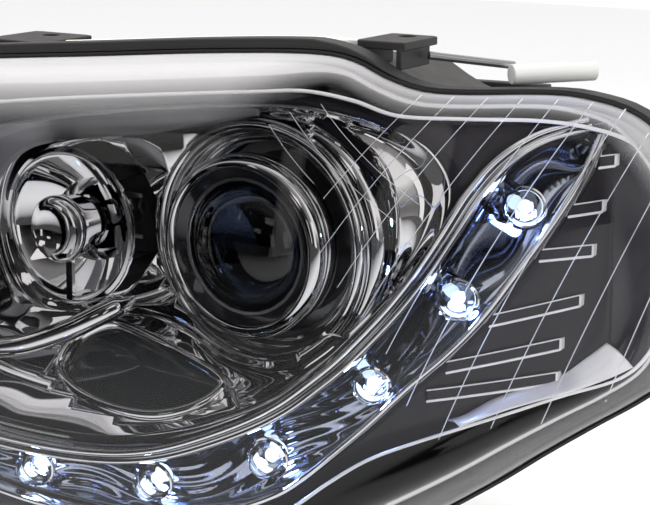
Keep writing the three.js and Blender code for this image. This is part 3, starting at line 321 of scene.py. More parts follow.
def turned(profile, centre=(0, 0, 0), axis=(0, 1, 0), steps=96, loop=False):
    """Spins a profile of radius and depth about the piece's own axis, which runs back along +Y."""
    bm = bmesh.new()
    verts = [bm.verts.new((r / 1000, y / 1000, 0)) for r, y in profile]
    pairs = list(zip(verts, verts[1:])) + ([(verts[-1], verts[0])] if loop else [])
    edges = [bm.edges.new(pair) for pair in pairs]
    bmesh.ops.spin(bm, geom=verts + edges, cent=(0, 0, 0), axis=(0, 1, 0), angle=math.tau,
                   steps=steps, use_merge=True, use_duplicate=False)
    bmesh.ops.remove_doubles(bm, verts=bm.verts, dist=1e-6)
    turn = Vector((0, 1, 0)).rotation_difference(Vector(axis).normalized()).to_matrix().to_4x4()
    bmesh.ops.transform(bm, matrix=Matrix.Translation(spot(*centre)) @ turn, verts=bm.verts)
    return bm


def block(width, depth, height, centre, turn=None):
    bm = bmesh.new()
    bmesh.ops.create_cube(bm, size=1)
    bmesh.ops.scale(bm, vec=(width / 1000, depth / 1000, height / 1000), verts=bm.verts)
    matrix = Matrix.Translation(spot(*centre)) @ (turn.to_4x4() if turn else Matrix())
    bmesh.ops.transform(bm, matrix=matrix, verts=bm.verts)
    return bm


# %% [markdown]
# ## Outlines
# The cover's rim, the bezel's frame and the recess are drawn as closed smooth curves through a few
# points, seen from the front. A Catmull-Rom curve passes through every one of them, so each point can be
# read as a place on the real lamp.


# %% Smooth outlines
def smooth_point(points, position, closed):
    count = len(points)
    i = int(math.floor(position))
    t = position - i
    pick = (lambda k: points[k % count]) if closed else (lambda k: points[min(max(k, 0), count - 1)])
    a, b, c, d = pick(i - 1), pick(i), pick(i + 1), pick(i + 2)
    return [
        0.5 * (2 * q + (r - p) * t + (2 * p - 5 * q + 4 * r - s) * t * t + (3 * q - p - 3 * r + s) * t ** 3)
        for p, q, r, s in zip(a, b, c, d)
    ]


def evenly(points, count, closed=True):
    """Points at even spacing along the smooth curve through the given ones."""
    spans = len(points) if closed else len(points) - 1
    dense = [smooth_point(points, k / 20, closed) for k in range(spans * 20 + 1)]
    run = [0.0]
    for p, q in zip(dense, dense[1:]):
        run.append(run[-1] + math.dist(p[:2], q[:2]))
    made, j = [], 0
    total = count if closed else count - 1
    for k in range(count):
        goal = run[-1] * k / total
        while j < len(run) - 2 and run[j + 1] < goal:
            j += 1
        share = (goal - run[j]) / max(run[j + 1] - run[j], 1e-9)
        made.append([a + (b - a) * share for a, b in zip(dense[j], dense[j + 1])])
    return made


def moved_in(ring, distance):
    """Moves every point of a closed outline square to it, inwards; distance may depend on the point."""
    count, made = len(ring), []
    for i, p in enumerate(ring):
        a, b = ring[i - 1], ring[(i + 1) % count]
        tx, tz = b[0] - a[0], b[1] - a[1]
        length = math.hypot(tx, tz) or 1e-9
        d = distance(p) if callable(distance) else distance
        made.append([p[0] - tz / length * d, p[1] + tx / length * d, *p[2:]])
    return made


COVER_RIM = [
    (-165, 84, 20), (-202, 58, 18), (-224, 10, 20), (-230, -45, 22), (-218, -95, 24), (-188, -136, 28),
    (-140, -162, 32), (-80, -176, 36), (-25, -178, 38), (22, -168, 38), (60, -150, 36), (89, -131, 34),
    (112, -115, 31), (130, -101, 28), (148, -88, 25), (164, -77, 22), (178, -64, 20), (186, -42, 20),
    (188, -12, 20), (184, 19, 18), (173, 45, 16), (158, 65, 13), (141, 74, 13), (125, 77, 14),
    (98, 78, 14), (83, 80, 13), (70, 86, 11), (58, 93, 11), (44, 96, 15), (20, 96, 22),
    (-24, 94, 26), (-72, 91, 26), (-123, 88, 24),
]
COVER_CENTRE = (-25, -40)


def face_y(x, z):
    """Depth of the cover's outer face: swept back outboard, leaning back above and below."""
    return (-54 + 0.36 * x + 0.0004 * min(x, 0) ** 2 + 0.0036 * max(x - 20, 0) ** 2
            + 0.0012 * (z + 40) ** 2)


AROUND = 220
cover_rim = evenly(COVER_RIM, AROUND)

# %% [markdown]
# ## Clear cover
# The real cover is moulded polycarbonate, 3 mm thick, with a rolled edge and a straight skirt glued into
# the housing. One profile runs from the middle of the face, round the roll and down the skirt, then back
# up the inside, and the outline carries that profile round.


# %% Clear cover
def cover_profile(depth, turns=12):
    """Rings of points for one side of the cover, from the middle of its face out to its skirt."""
    start = moved_in(cover_rim, lambda p: p[2])
    rings = []
    for share in (0.0, 0.12, 0.25, 0.38, 0.5, 0.62, 0.72, 0.82, 0.9, 0.96, 1.0):
        ring = [(COVER_CENTRE[0] + (p[0] - COVER_CENTRE[0]) * share,
                 COVER_CENTRE[1] + (p[1] - COVER_CENTRE[1]) * share) for p in start]
        rings.append([spot(x, face_y(x, z) + depth * 1.15, z) for x, z in ring])
    base = [face_y(p[0], p[1]) + depth * 1.15 for p in start]
    for k in range(1, turns + 1):
        turn = math.pi / 2 * k / turns
        ring = moved_in(cover_rim, lambda p: p[2] - (p[2] - depth) * math.sin(turn))
        made = []
        for i, p in enumerate(ring):
            foot = face_y(cover_rim[i][0], cover_rim[i][1]) + cover_rim[i][2]
            made.append(spot(p[0], base[i] + (foot - base[i]) * (1 - math.cos(turn)), p[1]))
        rings.append(made)
    skirt = moved_in(cover_rim, depth)
    rings.append([spot(p[0], face_y(q[0], q[1]) + q[2] + 10, p[1]) for p, q in zip(skirt, cover_rim)])
    return rings


def skin_of(rings, haze_and_painted_sheen=None):
    count, steps = len(rings), len(rings[0])
    return sheet_between(steps, count - 1,
                         lambda u, v: rings[round(v * (count - 1))][round(u * steps) % steps], closed=True,
                         haze_and_painted_sheen=haze_and_painted_sheen)


def painted_roll_sheen(u, v):
    """How strong the cover's painted sheen is: none on its face, most round the roll along the top, in
    place of the roll's reflection of the bright room above.
    """
    row = round(v * 47)
    if row > 23:
        return 0.0
    x, z = cover_rim[round(u * AROUND) % AROUND][:2]
    strength = (0.3 + 0.5 * held((z + 10) / 70)) * (1 - 0.3 * held((x - 20) / 60))
    start = 8 + 4 * held((x - 10) / 60)
    return strength * held((row - start) / 9) ** 1.3


cover = finish_mesh("clear_cover", skin_of(cover_profile(0) + cover_profile(3)[::-1], painted_roll_sheen),
    cover_clear, "lamp_body", "clear", 60)
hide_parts("outer_lens")
print("cover faces", len(cover.data.polygons))


# %% Rim helpers
def on_rim(distance, back):
    ring = moved_in(cover_rim, distance)
    return [spot(p[0], face_y(q[0], q[1]) + q[2] + 10 + back, p[1]) for p, q in zip(ring, cover_rim)]


# %% [markdown]
# ## Seal
# A black bead of sealant fills the groove between the cover's skirt and the housing's flange. It is one
# closed loop of a rounded section.

# %% Seal
seal = finish_mesh("edge_seal", skin_of([
    on_rim(-0.4, -7.5), on_rim(-1.2, -8.3), on_rim(-2.0, -7.5), on_rim(-2.0, 0.2), on_rim(-0.4, 0.2),
    on_rim(-0.4, -7.5),
]), seal_rubber, "lamp_body", "rubber")
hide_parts("lens_seal")

# %% [markdown]
# ## Bezel
# The bezel is one moulding with three looks: a mirror-bright recess round the two beams, a dark frame
# that edges it, and a dark ribbed panel outboard. Each is a skin drawn between outlines, with smooth
# curves from one outline to the next, so that reflections flow and don't break into facets.


# %% Skins through outlines
def smooth_rings(keys, steps):
    """Rings between key rings, on a smooth curve through each column of points."""
    columns = len(keys[0])
    made = []
    for k in range((len(keys) - 1) * steps + 1):
        made.append([
            Vector(smooth_point([ring[c] for ring in keys], k / steps, False)) for c in range(columns)
        ])
    return made


def level(ring, depth):
    """Outline points at a depth behind the cover's outer face; depth may be a function of the point."""
    return [spot(p[0], face_y(p[0], p[1]) + (depth(p) if callable(depth) else depth), p[1]) for p in ring]


def flat(ring, y):
    return [spot(p[0], y(p) if callable(y) else y, p[1]) for p in ring]


def toward(ring, centre, share):
    return [(centre[0] + (p[0] - centre[0]) * share, centre[1] + (p[1] - centre[1]) * share) for p in ring]


# %% Recess round the beams
RECESS_RIM = [
    (20, 74), (-30, 71), (-70, 66), (-110, 59), (-145, 50), (-172, 33), (-188, 5), (-192, -27),
    (-182, -54), (-162, -73), (-138, -86), (-108, -95.5), (-58, -99.5), (-18, -91.5), (9.5, -80), (29, -69),
    (43.5, -55.5), (57, -42), (73, -22), (84, -5), (92, 12), (94, 32), (88, 47), (77, 58), (62, 66),
    (44, 71),
]
RECESS_FLOOR = [
    (20, 62), (-20, 62), (-60, 56), (-110, 48), (-148, 36), (-166, 16), (-171, -15), (-160, -44),
    (-138, -56), (-100, -53), (-66, -50), (-46, -54), (-22, -64), (6, -66), (32, -57), (52, -38),
    (66, -20), (73, 0), (73, 24), (66, 44), (48, 57),
]
RECESS_CENTRE = (-45, -10)
FLOOR_Y = 14.0


def by_bearing(points, centre, count):
    """Points of the smooth outline at even bearings round the centre, so two outlines pair up."""
    dense = [smooth_point(points, k / 24, True) for k in range(len(points) * 24)]
    polar = sorted((math.atan2(p[1] - centre[1], p[0] - centre[0]),
        math.dist(p[:2], centre)) for p in dense)
    made, j = [], 0
    for k in range(count):
        bearing = -math.pi + math.tau * (k + 0.5) / count
        while j < len(polar) and polar[j][0] < bearing:
            j += 1
        (b0, r0), (b1, r1) = polar[j - 1], polar[j % len(polar)]
        share = ((bearing - b0) % math.tau) / max((b1 - b0) % math.tau, 1e-9)
        radius = r0 + (r1 - r0) * min(share, 1)
        made.append((centre[0] + radius * math.cos(bearing), centre[1] + radius * math.sin(bearing)))
    return made


ROUND = 240
recess_rim = by_bearing(RECESS_RIM, RECESS_CENTRE, ROUND)
recess_floor = by_bearing(RECESS_FLOOR, RECESS_CENTRE, ROUND)


def recess_rings():
    rim = level(recess_rim, 27)
    floor = flat(recess_floor, FLOOR_Y)
    wall = [f.lerp(r, 0.5) + Vector((0, 0.003, 0)) for f, r in zip(floor, rim)]
    foot = [f.lerp(r, 0.12) + Vector((0, 0.001, 0)) for f, r in zip(floor, rim)]
    lip = [r.lerp(f, 0.06) for f, r in zip(floor, rim)]
    edge = level(moved_in(recess_rim, 3.0), 27.6)
    inner = [flat(toward(recess_floor, RECESS_CENTRE, share), FLOOR_Y) for share in (0.0, 0.2, 0.4, 0.6,
        0.78, 0.9)]
    return inner + smooth_rings([inner[-1], floor, foot, wall, lip, rim, edge], 6)[1:]


def without_discs(bm, discs):
    """Opens round holes in a skin: drops the faces inside each disc and rounds off the hole's edge."""
    for x, z, radius in discs:
        centre = spot(x, 0, z)
        away = lambda co: math.hypot(co.x - centre.x, co.z - centre.z) * 1000
        inside = [f for f in bm.faces if away(f.calc_center_median()) < radius]
        bmesh.ops.delete(bm, geom=inside, context="FACES")
        for vert in bm.verts:
            if vert.is_boundary and 1 < away(vert.co) < radius + 9:
                share = radius / away(vert.co)
                vert.co.x = centre.x + (vert.co.x - centre.x) * share
                vert.co.z = centre.z + (vert.co.z - centre.z) * share
    return bm


recess_bm = without_discs(skin_of(recess_rings()), [(0, 0, 59), (-101, 0, 40)])
middle = spot(0, 0, 0)
beside_cup = [
    f for f in recess_bm.faces
    if (f.calc_center_median() - middle).x > 0.030 and f.calc_center_median().y < spot(0, FLOOR_Y + 1.5,
    0).y
    and math.hypot(*(f.calc_center_median() - middle).xz) < 0.0795 and f.calc_center_median().y > spot(0,
    FLOOR_Y - 1.5, 0).y
]
bmesh.ops.delete(recess_bm, geom=beside_cup, context="FACES")
recess = thickened(plated("beam_recess", recess_bm, "lamp_body", 50), 1.6, 1)
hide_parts("main_bezel")

# %% Dark plate above and outboard of the recess
PLATE_OUTER = [
    (-204, -50), (-201, 5), (-180, 42), (-150, 60), (-115, 66), (-80, 70), (-30, 74), (15, 77), (38, 78),
    (58, 74),
    (76, 67.5), (99, 65.5), (126, 64.5), (141, 60.5), (139, 57.5), (124, 52.5), (115, 46), (106, 33),
    (98, 14),
]
PLATE_INNER = [
    (-190, -40), (-187, 5), (-171, 33), (-145, 49.6), (-110, 58.6), (-70, 65.6), (-30, 70.6), (20, 73.6),
    (44, 70.6),
    (62, 65.6), (75, 59), (82, 53.5), (86.5, 48.5), (90, 42), (91.8, 38), (93, 34), (93.7, 30), (93.6, 24),
    (92.3, 13),
]
outer_line = [smooth_point(PLATE_OUTER, k / 8, False) for k in range(18 * 8 + 1)]
inner_line = [smooth_point(PLATE_INNER, k / 8, False) for k in range(18 * 8 + 1)]


def plate_place(u, v):
    i = round(u * (len(outer_line) - 1))
    x, z = (a + (b - a) * v for a, b in zip(inner_line[i], outer_line[i]))
    return spot(x, face_y(x, z) + 27 - 1.5 * math.sin(math.pi * v), z)


plate = finish_mesh("upper_plate", sheet_between(len(outer_line) - 1, 8, plate_place), panel_dark,
    "lamp_body", "satin_black", 50)
thickened(plate, 1.6, 1)
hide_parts("main_bezel")

# %% [markdown]
# ## Ribbed side panel
# The panel's edge was drawn first; the wall from it out to the frame's front line is narrow above and
# wide outboard and below, where it makes a shelf painted light grey as its reflection of the light above.
# The ribs stand on the panel.

# %% Frame and side panel
FRAME_FRONT = [
    (-150, 63), (-180, 44), (-201, 5), (-207, -45), (-195, -90), (-165, -124), (-120, -144), (-70, -152),
    (-22, -149), (10, -139), (36, -125), (55, -109), (71, -97), (88, -89), (112, -80), (140, -70),
    (163, -62), (174, -42), (178, -15), (176, 12), (170, 36), (160, 52), (145, 61), (126, 66), (99, 68),
    (76, 70), (58, 77), (38, 81), (15, 80), (-30, 77), (-80, 73), (-115, 69),
]
PANEL_EDGE = [
    (-150, 60), (-177, 42), (-198, 5), (-204, -45), (-192, -88), (-163, -121), (-119, -141), (-70, -149),
    (-22, -146), (9, -136), (35, -121), (54, -106), (72, -93), (98, -81), (117, -70), (135, -60),
    (151, -51), (152.5, -40), (152.5, -25), (151.4, 0), (150, 24), (147.5, 48), (142.5, 59.5), (126, 63),
    (99, 65),
    (76, 67), (58, 74), (38, 78), (15, 77), (-30, 74), (-80, 70), (-115, 66),
]
frame_front = [smooth_point(FRAME_FRONT, k / 8, True) for k in range(len(FRAME_FRONT) * 8)]
panel_edge = [smooth_point(PANEL_EDGE, k / 8, True) for k in range(len(PANEL_EDGE) * 8)]


def frame_rings():
    front = level(frame_front, 15)
    top = level(moved_in(frame_front, -0.2), 14.4)
    outer = level(moved_in(frame_front, 1.4), 14.4)
    edge = level(panel_edge, 28)
    wall = [p.lerp(q, 0.12) for p, q in zip(front, edge)]
    back = level(moved_in(frame_front, 1.8), 29)
    return [back, level(moved_in(frame_front, 1.8), 16), outer, top,
        front] + smooth_rings([front, wall, edge], 4)[1:]


frame_bm = skin_of(frame_rings())
frame_piece = finish_mesh("bezel_edge", frame_bm, frame_dark, "lamp_body", "dark_chrome", 45)
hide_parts("bezel_frame")


# A light grey bead along the frame's front: a painted highlight on its edge.
bead_rings = [
    [spot(p[0], face_y(p[0], p[1]) + 14.2 - 0.9 * math.cos(a), p[1]) for p in moved_in(frame_front,
    0.6 + 0.9 * math.sin(a))]
    for a in [math.tau * k / 10 for k in range(11)]
]
finish_mesh("frame_bead", skin_of(bead_rings), painted_highlight_grey, "lamp_body", "chrome", 60)

CHANNEL_UPPER = [
    (-196, -50), (-188, -66), (-166, -84), (-140, -94), (-109, -102), (-80, -105.5), (-58, -106),
    (-37, -104),
    (-15, -98), (14, -85), (34, -73), (49, -60), (63, -45.5), (79, -24), (90, -5), (98, 12), (106, 31),
    (115, 46), (127, 56.5), (143, 62),
]
CHANNEL_LOWER = [
    (-192, -72), (-184, -92), (-168, -107), (-143, -120), (-108, -132), (-78, -138), (-50, -139),
    (-22, -136),
    (5, -129), (29, -118), (43, -107), (56, -94), (70, -79), (85, -61), (100, -44), (112, -27), (124, -4),
    (134, 17), (142, 38), (146.5, 57.5),
]
LONG = 150
upper_edge = evenly(CHANNEL_UPPER, LONG + 1, closed=False)
lower_edge = evenly(CHANNEL_LOWER, LONG + 1, closed=False)


def beside(line, distance):
    made = []
    for i, p in enumerate(line):
        a, b = line[max(i - 1, 0)], line[min(i + 1, len(line) - 1)]
        tx, tz = b[0] - a[0], b[1] - a[1]
        length = math.hypot(tx, tz) or 1e-9
        made.append((p[0] - tz / length * distance, p[1] + tx / length * distance))
    return made


# The panel lies between the channel's lower edge and the panel's edge.
below_channel = beside(lower_edge, -1.0)
panel_far = [smooth_point([
    (-196, -86), (-188, -100), (-163, -121), (-119, -141), (-95, -146), (-70, -149), (-46, -148),
    (-22, -146), (9, -136), (35, -121), (54, -106), (72, -93),
    (98, -81), (117, -70), (135, -60), (151, -50.5), (152.5, -25), (151.4, 0), (149.5, 30), (144.5, 58),
], 19 * k / LONG, False) for k in range(LONG + 1)]


def panel_place(u, v):
    i = round(u * LONG)
    x, z = (a + (b - a) * v for a, b in zip(below_channel[i], panel_far[i]))
    return spot(x, face_y(x, z) + 28, z)


panel = finish_mesh("side_plate", sheet_between(LONG, 14, panel_place), panel_dark, "lamp_body",
    "satin_black", 50)
thickened(panel, 1.8, 1)
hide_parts("side_panel")

# %% Ribs
RIBS = [
    ((146, 43.5), (151.5, 44)), ((137.5, 21), (149, 22.4)), ((129, 0.5), (147, 1.2)),
    ((113, -30), (144, -23)), ((98, -52), (138, -44)), ((91, -66), (137, -61)),
]


def rib_bar(start, end, tall, front, back):
    """A bar along the panel with square ends, following the cover's sweep from start to end."""
    corners = [(-0.5, front), (0.5, front), (0.5, back), (-0.5, back)]
    steps = 10
    def place(u, v):
        i = round(u * steps)
        share = i / steps
        x = start[0] + (end[0] - start[0]) * share
        z = start[1] + (end[1] - start[1]) * share
        up, depth = corners[round(v * 4) % 4]
        return spot(x, face_y(x, z) + depth, z + up * tall)
    bm = sheet_between(steps, 4, place)
    bmesh.ops.remove_doubles(bm, verts=bm.verts, dist=1e-6)
    bmesh.ops.holes_fill(bm, edges=bm.edges)
    return bm


for number, (start, end) in enumerate(RIBS):
    tall = 5.6
    body = finish_mesh("panel_rib_%d" % (number + 1), rib_bar(start, end, tall, 22.5, 28.4), panel_dark,
        "lamp_body", "satin_black", 30)
    softened(body, 0.5, 3)
    # Light grey strips along each rib's upper and lower edges and across its tip are painted highlights.
    for side, thick in ((1, 0.7), (-1, 1.3)):
        a = (start[0], start[1] + side * tall / 2)
        b = (end[0], end[1] + side * tall / 2)
        edge = finish_mesh("rib_edge_highlight_%d_%s" % (number + 1, "above" if side > 0 else "below"),
                           rib_bar(a, b, thick, 21.9, 23.4), painted_highlight_grey, "lamp_body", "chrome", 30)
        softened(edge, 0.25, 2)
    tip = finish_mesh("rib_tip_highlight_%d" % (number + 1), rib_bar((end[0] - 0.4, end[1]), (end[0] + 0.4, end[1]),
        tall, 21.9, 28.2),
                      painted_highlight_grey, "lamp_body", "chrome", 30)
    softened(tip, 0.2, 2)

# %% Shelf under the panel, painted light grey as its reflection of the light above
shelf_back = [(98, -83), (104, -81), (114, -74), (125, -69.5), (136, -66), (145, -58), (153, -50)]
shelf_front = [(106, -84.5), (112, -81.5), (124, -77), (136, -73.5), (148, -70), (158, -66), (165, -62)]


def shelf_place(u, v):
    back = smooth_point(shelf_back, u * 6, False)
    front = smooth_point(shelf_front, u * 6, False)
    p, q = spot(back[0], face_y(*back) + 28, back[1]), spot(front[0], face_y(*front) + 17, front[1])
    return p.lerp(q, v) + Vector((0, -0.0042, 0.0042 + 0.0012 * math.sin(math.pi * v)))


shelf = finish_mesh("painted_highlight_shelf", sheet_between(48, 12, shelf_place), painted_highlight_grey, "lamp_body", "chrome",
    60)
thickened(shelf, 1.2, 1)

# %% [markdown]
# ## Running-light channel
# The channel is a chrome trough that follows the lower edge of the recess and rises to a point outboard.
# Its floor is fluted, so each element throws streaks along it. A double rail runs along its upper edge
# and a thin one along its lower edge.


# %% Channel floor and rails
def across(u, v, depth):
    i = min(round(u * LONG), LONG)
    upper, lower = upper_edge[i], lower_edge[i]
    x, z = (a + (b - a) * v for a, b in zip(upper, lower))
    return spot(x, face_y(x, z) + depth, z)


def channel_place(u, v):
    depth = 27 + 17 * math.sin(math.pi * held((v + 0.02) / 1.04)) ** 0.45
    calm = held((0.75 - u) / 0.2)
    groove = abs(math.sin(math.pi * (v * 5 + 1.2 * math.sin(u * 26))))
    flute = calm * 0.7 * groove + 1.5 * math.sin(u * 44 + v * 1.5)
    return across(u, v, depth + flute)


# The trough's blue tint is painted, standing in for the running lights' blue glow on the chrome.
trough = finish_mesh("light_channel", sheet_between(LONG, 56, channel_place), chrome_painted_blue, "lamp_body",
    "chrome", 40)
thickened(trough, 1.4, 1)
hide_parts("led_channel")

# A rail's section, as offset outwards and depth behind the cover's face.
DOUBLE_RAIL = [
    (4.6, 25), (4.8, 20), (4.4, 17.6), (3.6, 16.6), (2.4, 16.4), (1.2, 17.0), (0.6, 18.2), (0.2, 18.8),
    (-0.4, 18.2), (-1.0, 17.4), (-2.0, 17.0), (-2.9, 17.5), (-3.3, 18.8), (-3.4, 26),
]
THIN_RAIL = [(-2.0, 26), (-2.1, 19.5), (-1.5, 18), (-0.4, 17.4), (0.8, 17.8), (1.5, 19), (1.6, 26)]


def rail(name, line, section):
    lines = [beside(line, offset) for offset, depth in section]
    def place(u, v):
        i, j = round(u * LONG), round(v * (len(section) - 1))
        x, z = lines[j][i]
        return spot(x, face_y(x, z) + section[j][1], z)
    return plated(name, sheet_between(LONG, len(section) - 1, place), "lamp_body", 70)


upper_rail = rail("upper_rail", upper_edge, DOUBLE_RAIL)
lower_rail = rail("lower_rail", lower_edge, THIN_RAIL)
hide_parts("led_trim")
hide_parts("led_trim")

# %% [markdown]
# ## Running-light elements
# Each element is a clear stub of plastic with a collar, standing over a small bright diode. The stub is
# spun round its own axis, which leans halfway between straight ahead and square to the cover.


# %% Elements
for k in range(1, 8):
    low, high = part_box("led_lens_%d" % k)
    middle = ((low + high) / 2 - LAMP) * 1000
    x, z = middle.x, middle.z
    slope = Vector((face_y(x + 0.5, z) - face_y(x - 0.5, z), -1,
        face_y(x, z + 0.5) - face_y(x, z - 0.5))).normalized()
    axis = -(slope + Vector((0, -1, 0))).normalized()
    radius = min(high.z - low.z, high.x - low.x) * 500 - 0.3
    stub = [(0, -7.6), (radius - 3.4, -7.4), (radius - 1.6, -6.6), (radius - 0.9, -5.2),
        (radius - 0.9, -1.4), (radius, -0.9),
            (radius, 0.9), (radius - 0.9, 1.4), (radius - 1.6, 7.2), (radius - 2.4, 7.8), (0, 7.8)]
    element = finish_mesh("light_stub_%d" % k, turned(stub, middle, axis, 48), led_clear, "lamp_body",
        "led_clear", 40)
    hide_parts("led_lens_%d" % k)
    core = [(0, -2.4), (2.0, -2.0), (3.2, -0.6), (3.4, 1.2), (2.6, 2.4), (0, 2.6)]
    core_place = middle + axis * 4.5
    finish_mesh("light_core_%d" % k, turned(core, core_place, axis, 24), led_glow, "lamp_body",
        "led_clear", 60)
    blue = bpy.data.lights.new("blue_glow_%d" % k, "POINT")
    blue.energy, blue.color, blue.shadow_soft_size = 0.07, (0.32, 0.48, 1.0), 0.004
    blue_place = bpy.data.objects.new("blue_glow_%d" % k, blue)
    bpy.context.scene.collection.objects.link(blue_place)
    blue_place.location = spot(*(middle + axis * -9))
    finish_mesh("light_collar_%d" % k,
        turned([(radius + 0.2, -0.6), (radius + 1.0, -0.2), (radius + 1.0, 1.4), (radius + 0.2, 1.8)],
                       middle, axis, 48, loop=True), bright_chrome, "lamp_body", "chrome", 40)

# %% [markdown]
# ## Low beam
# The projector's glass is a deep dome in a black cone. Round it stands a chrome ring that moves with the
# projector, and outside that a wider stepped ring that stays with the bezel, so a gap opens as it tilts.

# %% Projector and its rings
dome = [(0, -14)] + [(32 * math.sin(a), 4 - 18 * math.cos(a)) for a in [math.radians(d) for d in range(6,
    79, 6)]] + [(32, 0.2), (34, 0.2), (34, 4), (0, 4)]
projector_glass = finish_mesh("projector_dome", turned(dome, steps=128),
    clear_finish("coated_glass", (0.55, 0.6, 0.68), ior=1.62), "carrier", "projector_glass", 30)
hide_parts("projector_lens")
cone = [(33.2, 2), (33.6, -1.4), (34.6, -2.4), (38, -4.2), (40.6, -6.0), (41.2, -6.2), (41.2, -2),
    (38.4, 8), (37, 8)]
shroud = finish_mesh("projector_cone", turned(cone, steps=128), gloss_black, "carrier", "gloss_black", 40)
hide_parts("projector_shroud")
lip = [(38.6, -2.0), (39.0, -4.6), (39.8, -6.4), (40.8, -7.2), (42.0, -7.2), (43.6, -6.3), (45.2, -4.9),
    (46, -3.4), (46.2, -1.6), (45.6, 6), (44.0, 14), (43.0, 14), (44.4, 5), (44.6, -1.6), (42, -3.6),
    (40.6, -3.4), (39.6, -1.4)]
inner_ring = plated("moving_ring", turned(lip, steps=160, loop=True), "carrier", 50)
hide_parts("inner_ring")
stepped = [
    (48.6, 26), (48.6, 19), (49.3, 17.6), (51.2, 16.6), (52.2, 16.2), (52.6, 14.6), (53.0, 13.8),
    (54.2, 13.4), (54.8, 12.6), (55.4, 10.4),
    (56.2, 8.8), (57.6, 7.8), (59.2, 7.9), (60.4, 8.8), (61.0, 10.4), (61.2, 12.6), (60.6, 13.8),
    (57.6, 13.8), (57.0, 15), (54, 18), (50, 20), (50, 26),
]
outer_ring = plated("fixed_ring", turned(stepped, steps=160, loop=True), "lamp_body", 50)
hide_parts("outer_ring")
light_well = [(33.6, 4.2), (32.6, 6.0), (28, 9.6), (20, 12.6), (10, 14.6), (0, 15.2)]
finish_mesh("projector_well", turned(light_well, steps=96), smoked_chrome, "carrier", "gloss_black", 40)

# %% Cup that stands round the fixed ring
cup_profile = [(61.0, 13.4), (63, 12.9), (65.4, 13.8), (68, 16.4), (70, 20.4), (71.2, 25.4), (71.8, 31),
    (71.8, 38), (70.6, 38), (70.4, 31), (69.8, 25.4), (68.4, 20.6), (66.4, 17.4), (64, 15.4), (61, 15)]
plated("beam_cup", turned(cup_profile, steps=160, loop=True), "lamp_body", 50)

# %% [markdown]
# ## High beam
# A plain bowl with a chrome cap in front of its bulb. The cap is a short tube with a bright rim, closed
# by a shallow dish, on a strut from the bowl's lower edge.

# %% High beam
high_low, high_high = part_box("high_beam_reflector")
HIGH = ((high_low + high_high) / 2 - LAMP) * 1000
HX, HZ = HIGH.x, HIGH.z


def bowl_y(r):
    return 6 - r * r / 80


bowl = [(11, bowl_y(11))] + [(r, bowl_y(r)) for r in (14, 17, 20, 24, 28, 32, 36, 39)] + [(39.2, -14.3),
    (41.0, -14.0), (41.2, -13.2), (41.2, -11), (37, -6.6), (30, -2.2), (22, 2.6), (15, 6.6), (15, 22),
    (11, 22)]
high_bowl = plated("high_bowl", turned(bowl, (HX, 0, HZ), steps=128, loop=True), "carrier", 45)
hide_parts("high_beam_reflector")
cap = [(0, -17.4), (6, -17.8), (11, -19.4), (14.4, -21.6), (15.6, -22.8), (16.6, -23.2), (17.4, -22.6),
    (17.6, -21.2), (17.0, -17), (15.6, -8), (13.6, -1), (12.4, -1), (14.4, -9), (15.4, -17), (0, -15.6)]
high_cap_piece = plated("bulb_shield", turned(cap, (HX, 0, HZ), steps=96), "carrier", 45)
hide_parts("high_beam_cap")
strut = block(4, 2.4, 27, (HX, -12.6, HZ - 28.4))
plated("shield_strut", strut, "carrier", 30)

# %% Lip under the high beam
def ridge(points, radius, steps=80, around=20):
    """A rounded bar along a smooth curve, thinner at both ends."""
    def place(u, v):
        here = Vector(smooth_point(points, u * (len(points) - 1), False))
        after = Vector(smooth_point(points, min(u + 0.01, 1) * (len(points) - 1), False))
        before = Vector(smooth_point(points, max(u - 0.01, 0) * (len(points) - 1), False))
        along = (after - before).normalized()
        side = along.cross(Vector((0, 0, 1))).normalized()
        up = side.cross(along)
        size = radius * min(1, 8 * u + 0.05, 8 * (1 - u) + 0.05)
        turn = math.tau * v
        return spot(*(here + side * size * math.cos(turn) + up * size * math.sin(turn)))
    return sheet_between(steps, around, place)


lip_bm = ridge([(-176, -40, -60), (-150, -38, -66), (-118, -36, -61), (-90, -31, -50), (-71, -24, -39.5),
    (-58, -12, -31)], 5.5)
bmesh.ops.remove_doubles(lip_bm, verts=lip_bm.verts, dist=1e-6)
bmesh.ops.holes_fill(lip_bm, edges=lip_bm.edges)
plated("beam_lip", lip_bm, "lamp_body", 60)

# %% Satin roof over the beams
roof_front = [(-186, 14), (-172, 34), (-145, 50), (-110, 59), (-70, 66), (-30, 71), (14, 74)]
roof_back = [(-168, -2), (-160, 19), (-140, 35), (-106, 43), (-66, 49), (-34, 56), (2, 64)]


def roof_place(u, v):
    front, back = smooth_point(roof_front, u * 6, False), smooth_point(roof_back, u * 6, False)
    p, q = spot(front[0], face_y(*front) + 26.4, front[1]), spot(back[0], 9 - 6 * (1 - u), back[1])
    return p.lerp(q, v) + Vector((0, 0, 0.004 * math.sin(math.pi * v)))


roof = finish_mesh("recess_roof", sheet_between(64, 16, roof_place), satin_grey, "lamp_body",
    "dark_chrome", 60)
thickened(roof, 0.8, 1)

# %% [markdown]
# ## Indicator pocket
# A rounded triangle let into the sloping wall under the beams: a bright lip and a smoked
# window.

# %% Indicator pocket
POCKET = [(-46, -8.4), (-46, 7), (-39, 18), (-26, 24), (-4, 19), (22, 10), (44, 1), (48, -6), (38, -17.5),
    (18, -26), (-6, -26), (-30, -20)]
pocket_ring = [smooth_point(POCKET, k / 14, True) for k in range(len(POCKET) * 14)]
POCKET_PLACE = spot(-57, -8.7, -71)
LEAN = Matrix.Rotation(math.radians(8), 3, "Z") @ Matrix.Rotation(-0.824, 3, "X")


def pocket_level(grow, out):
    """The pocket's outline grown square to itself, raised out of the wall along the wall's normal."""
    ring = moved_in(pocket_ring, grow)
    return [POCKET_PLACE + LEAN @ (Vector((p[0], -out, p[1])) / 1000) for p in ring]


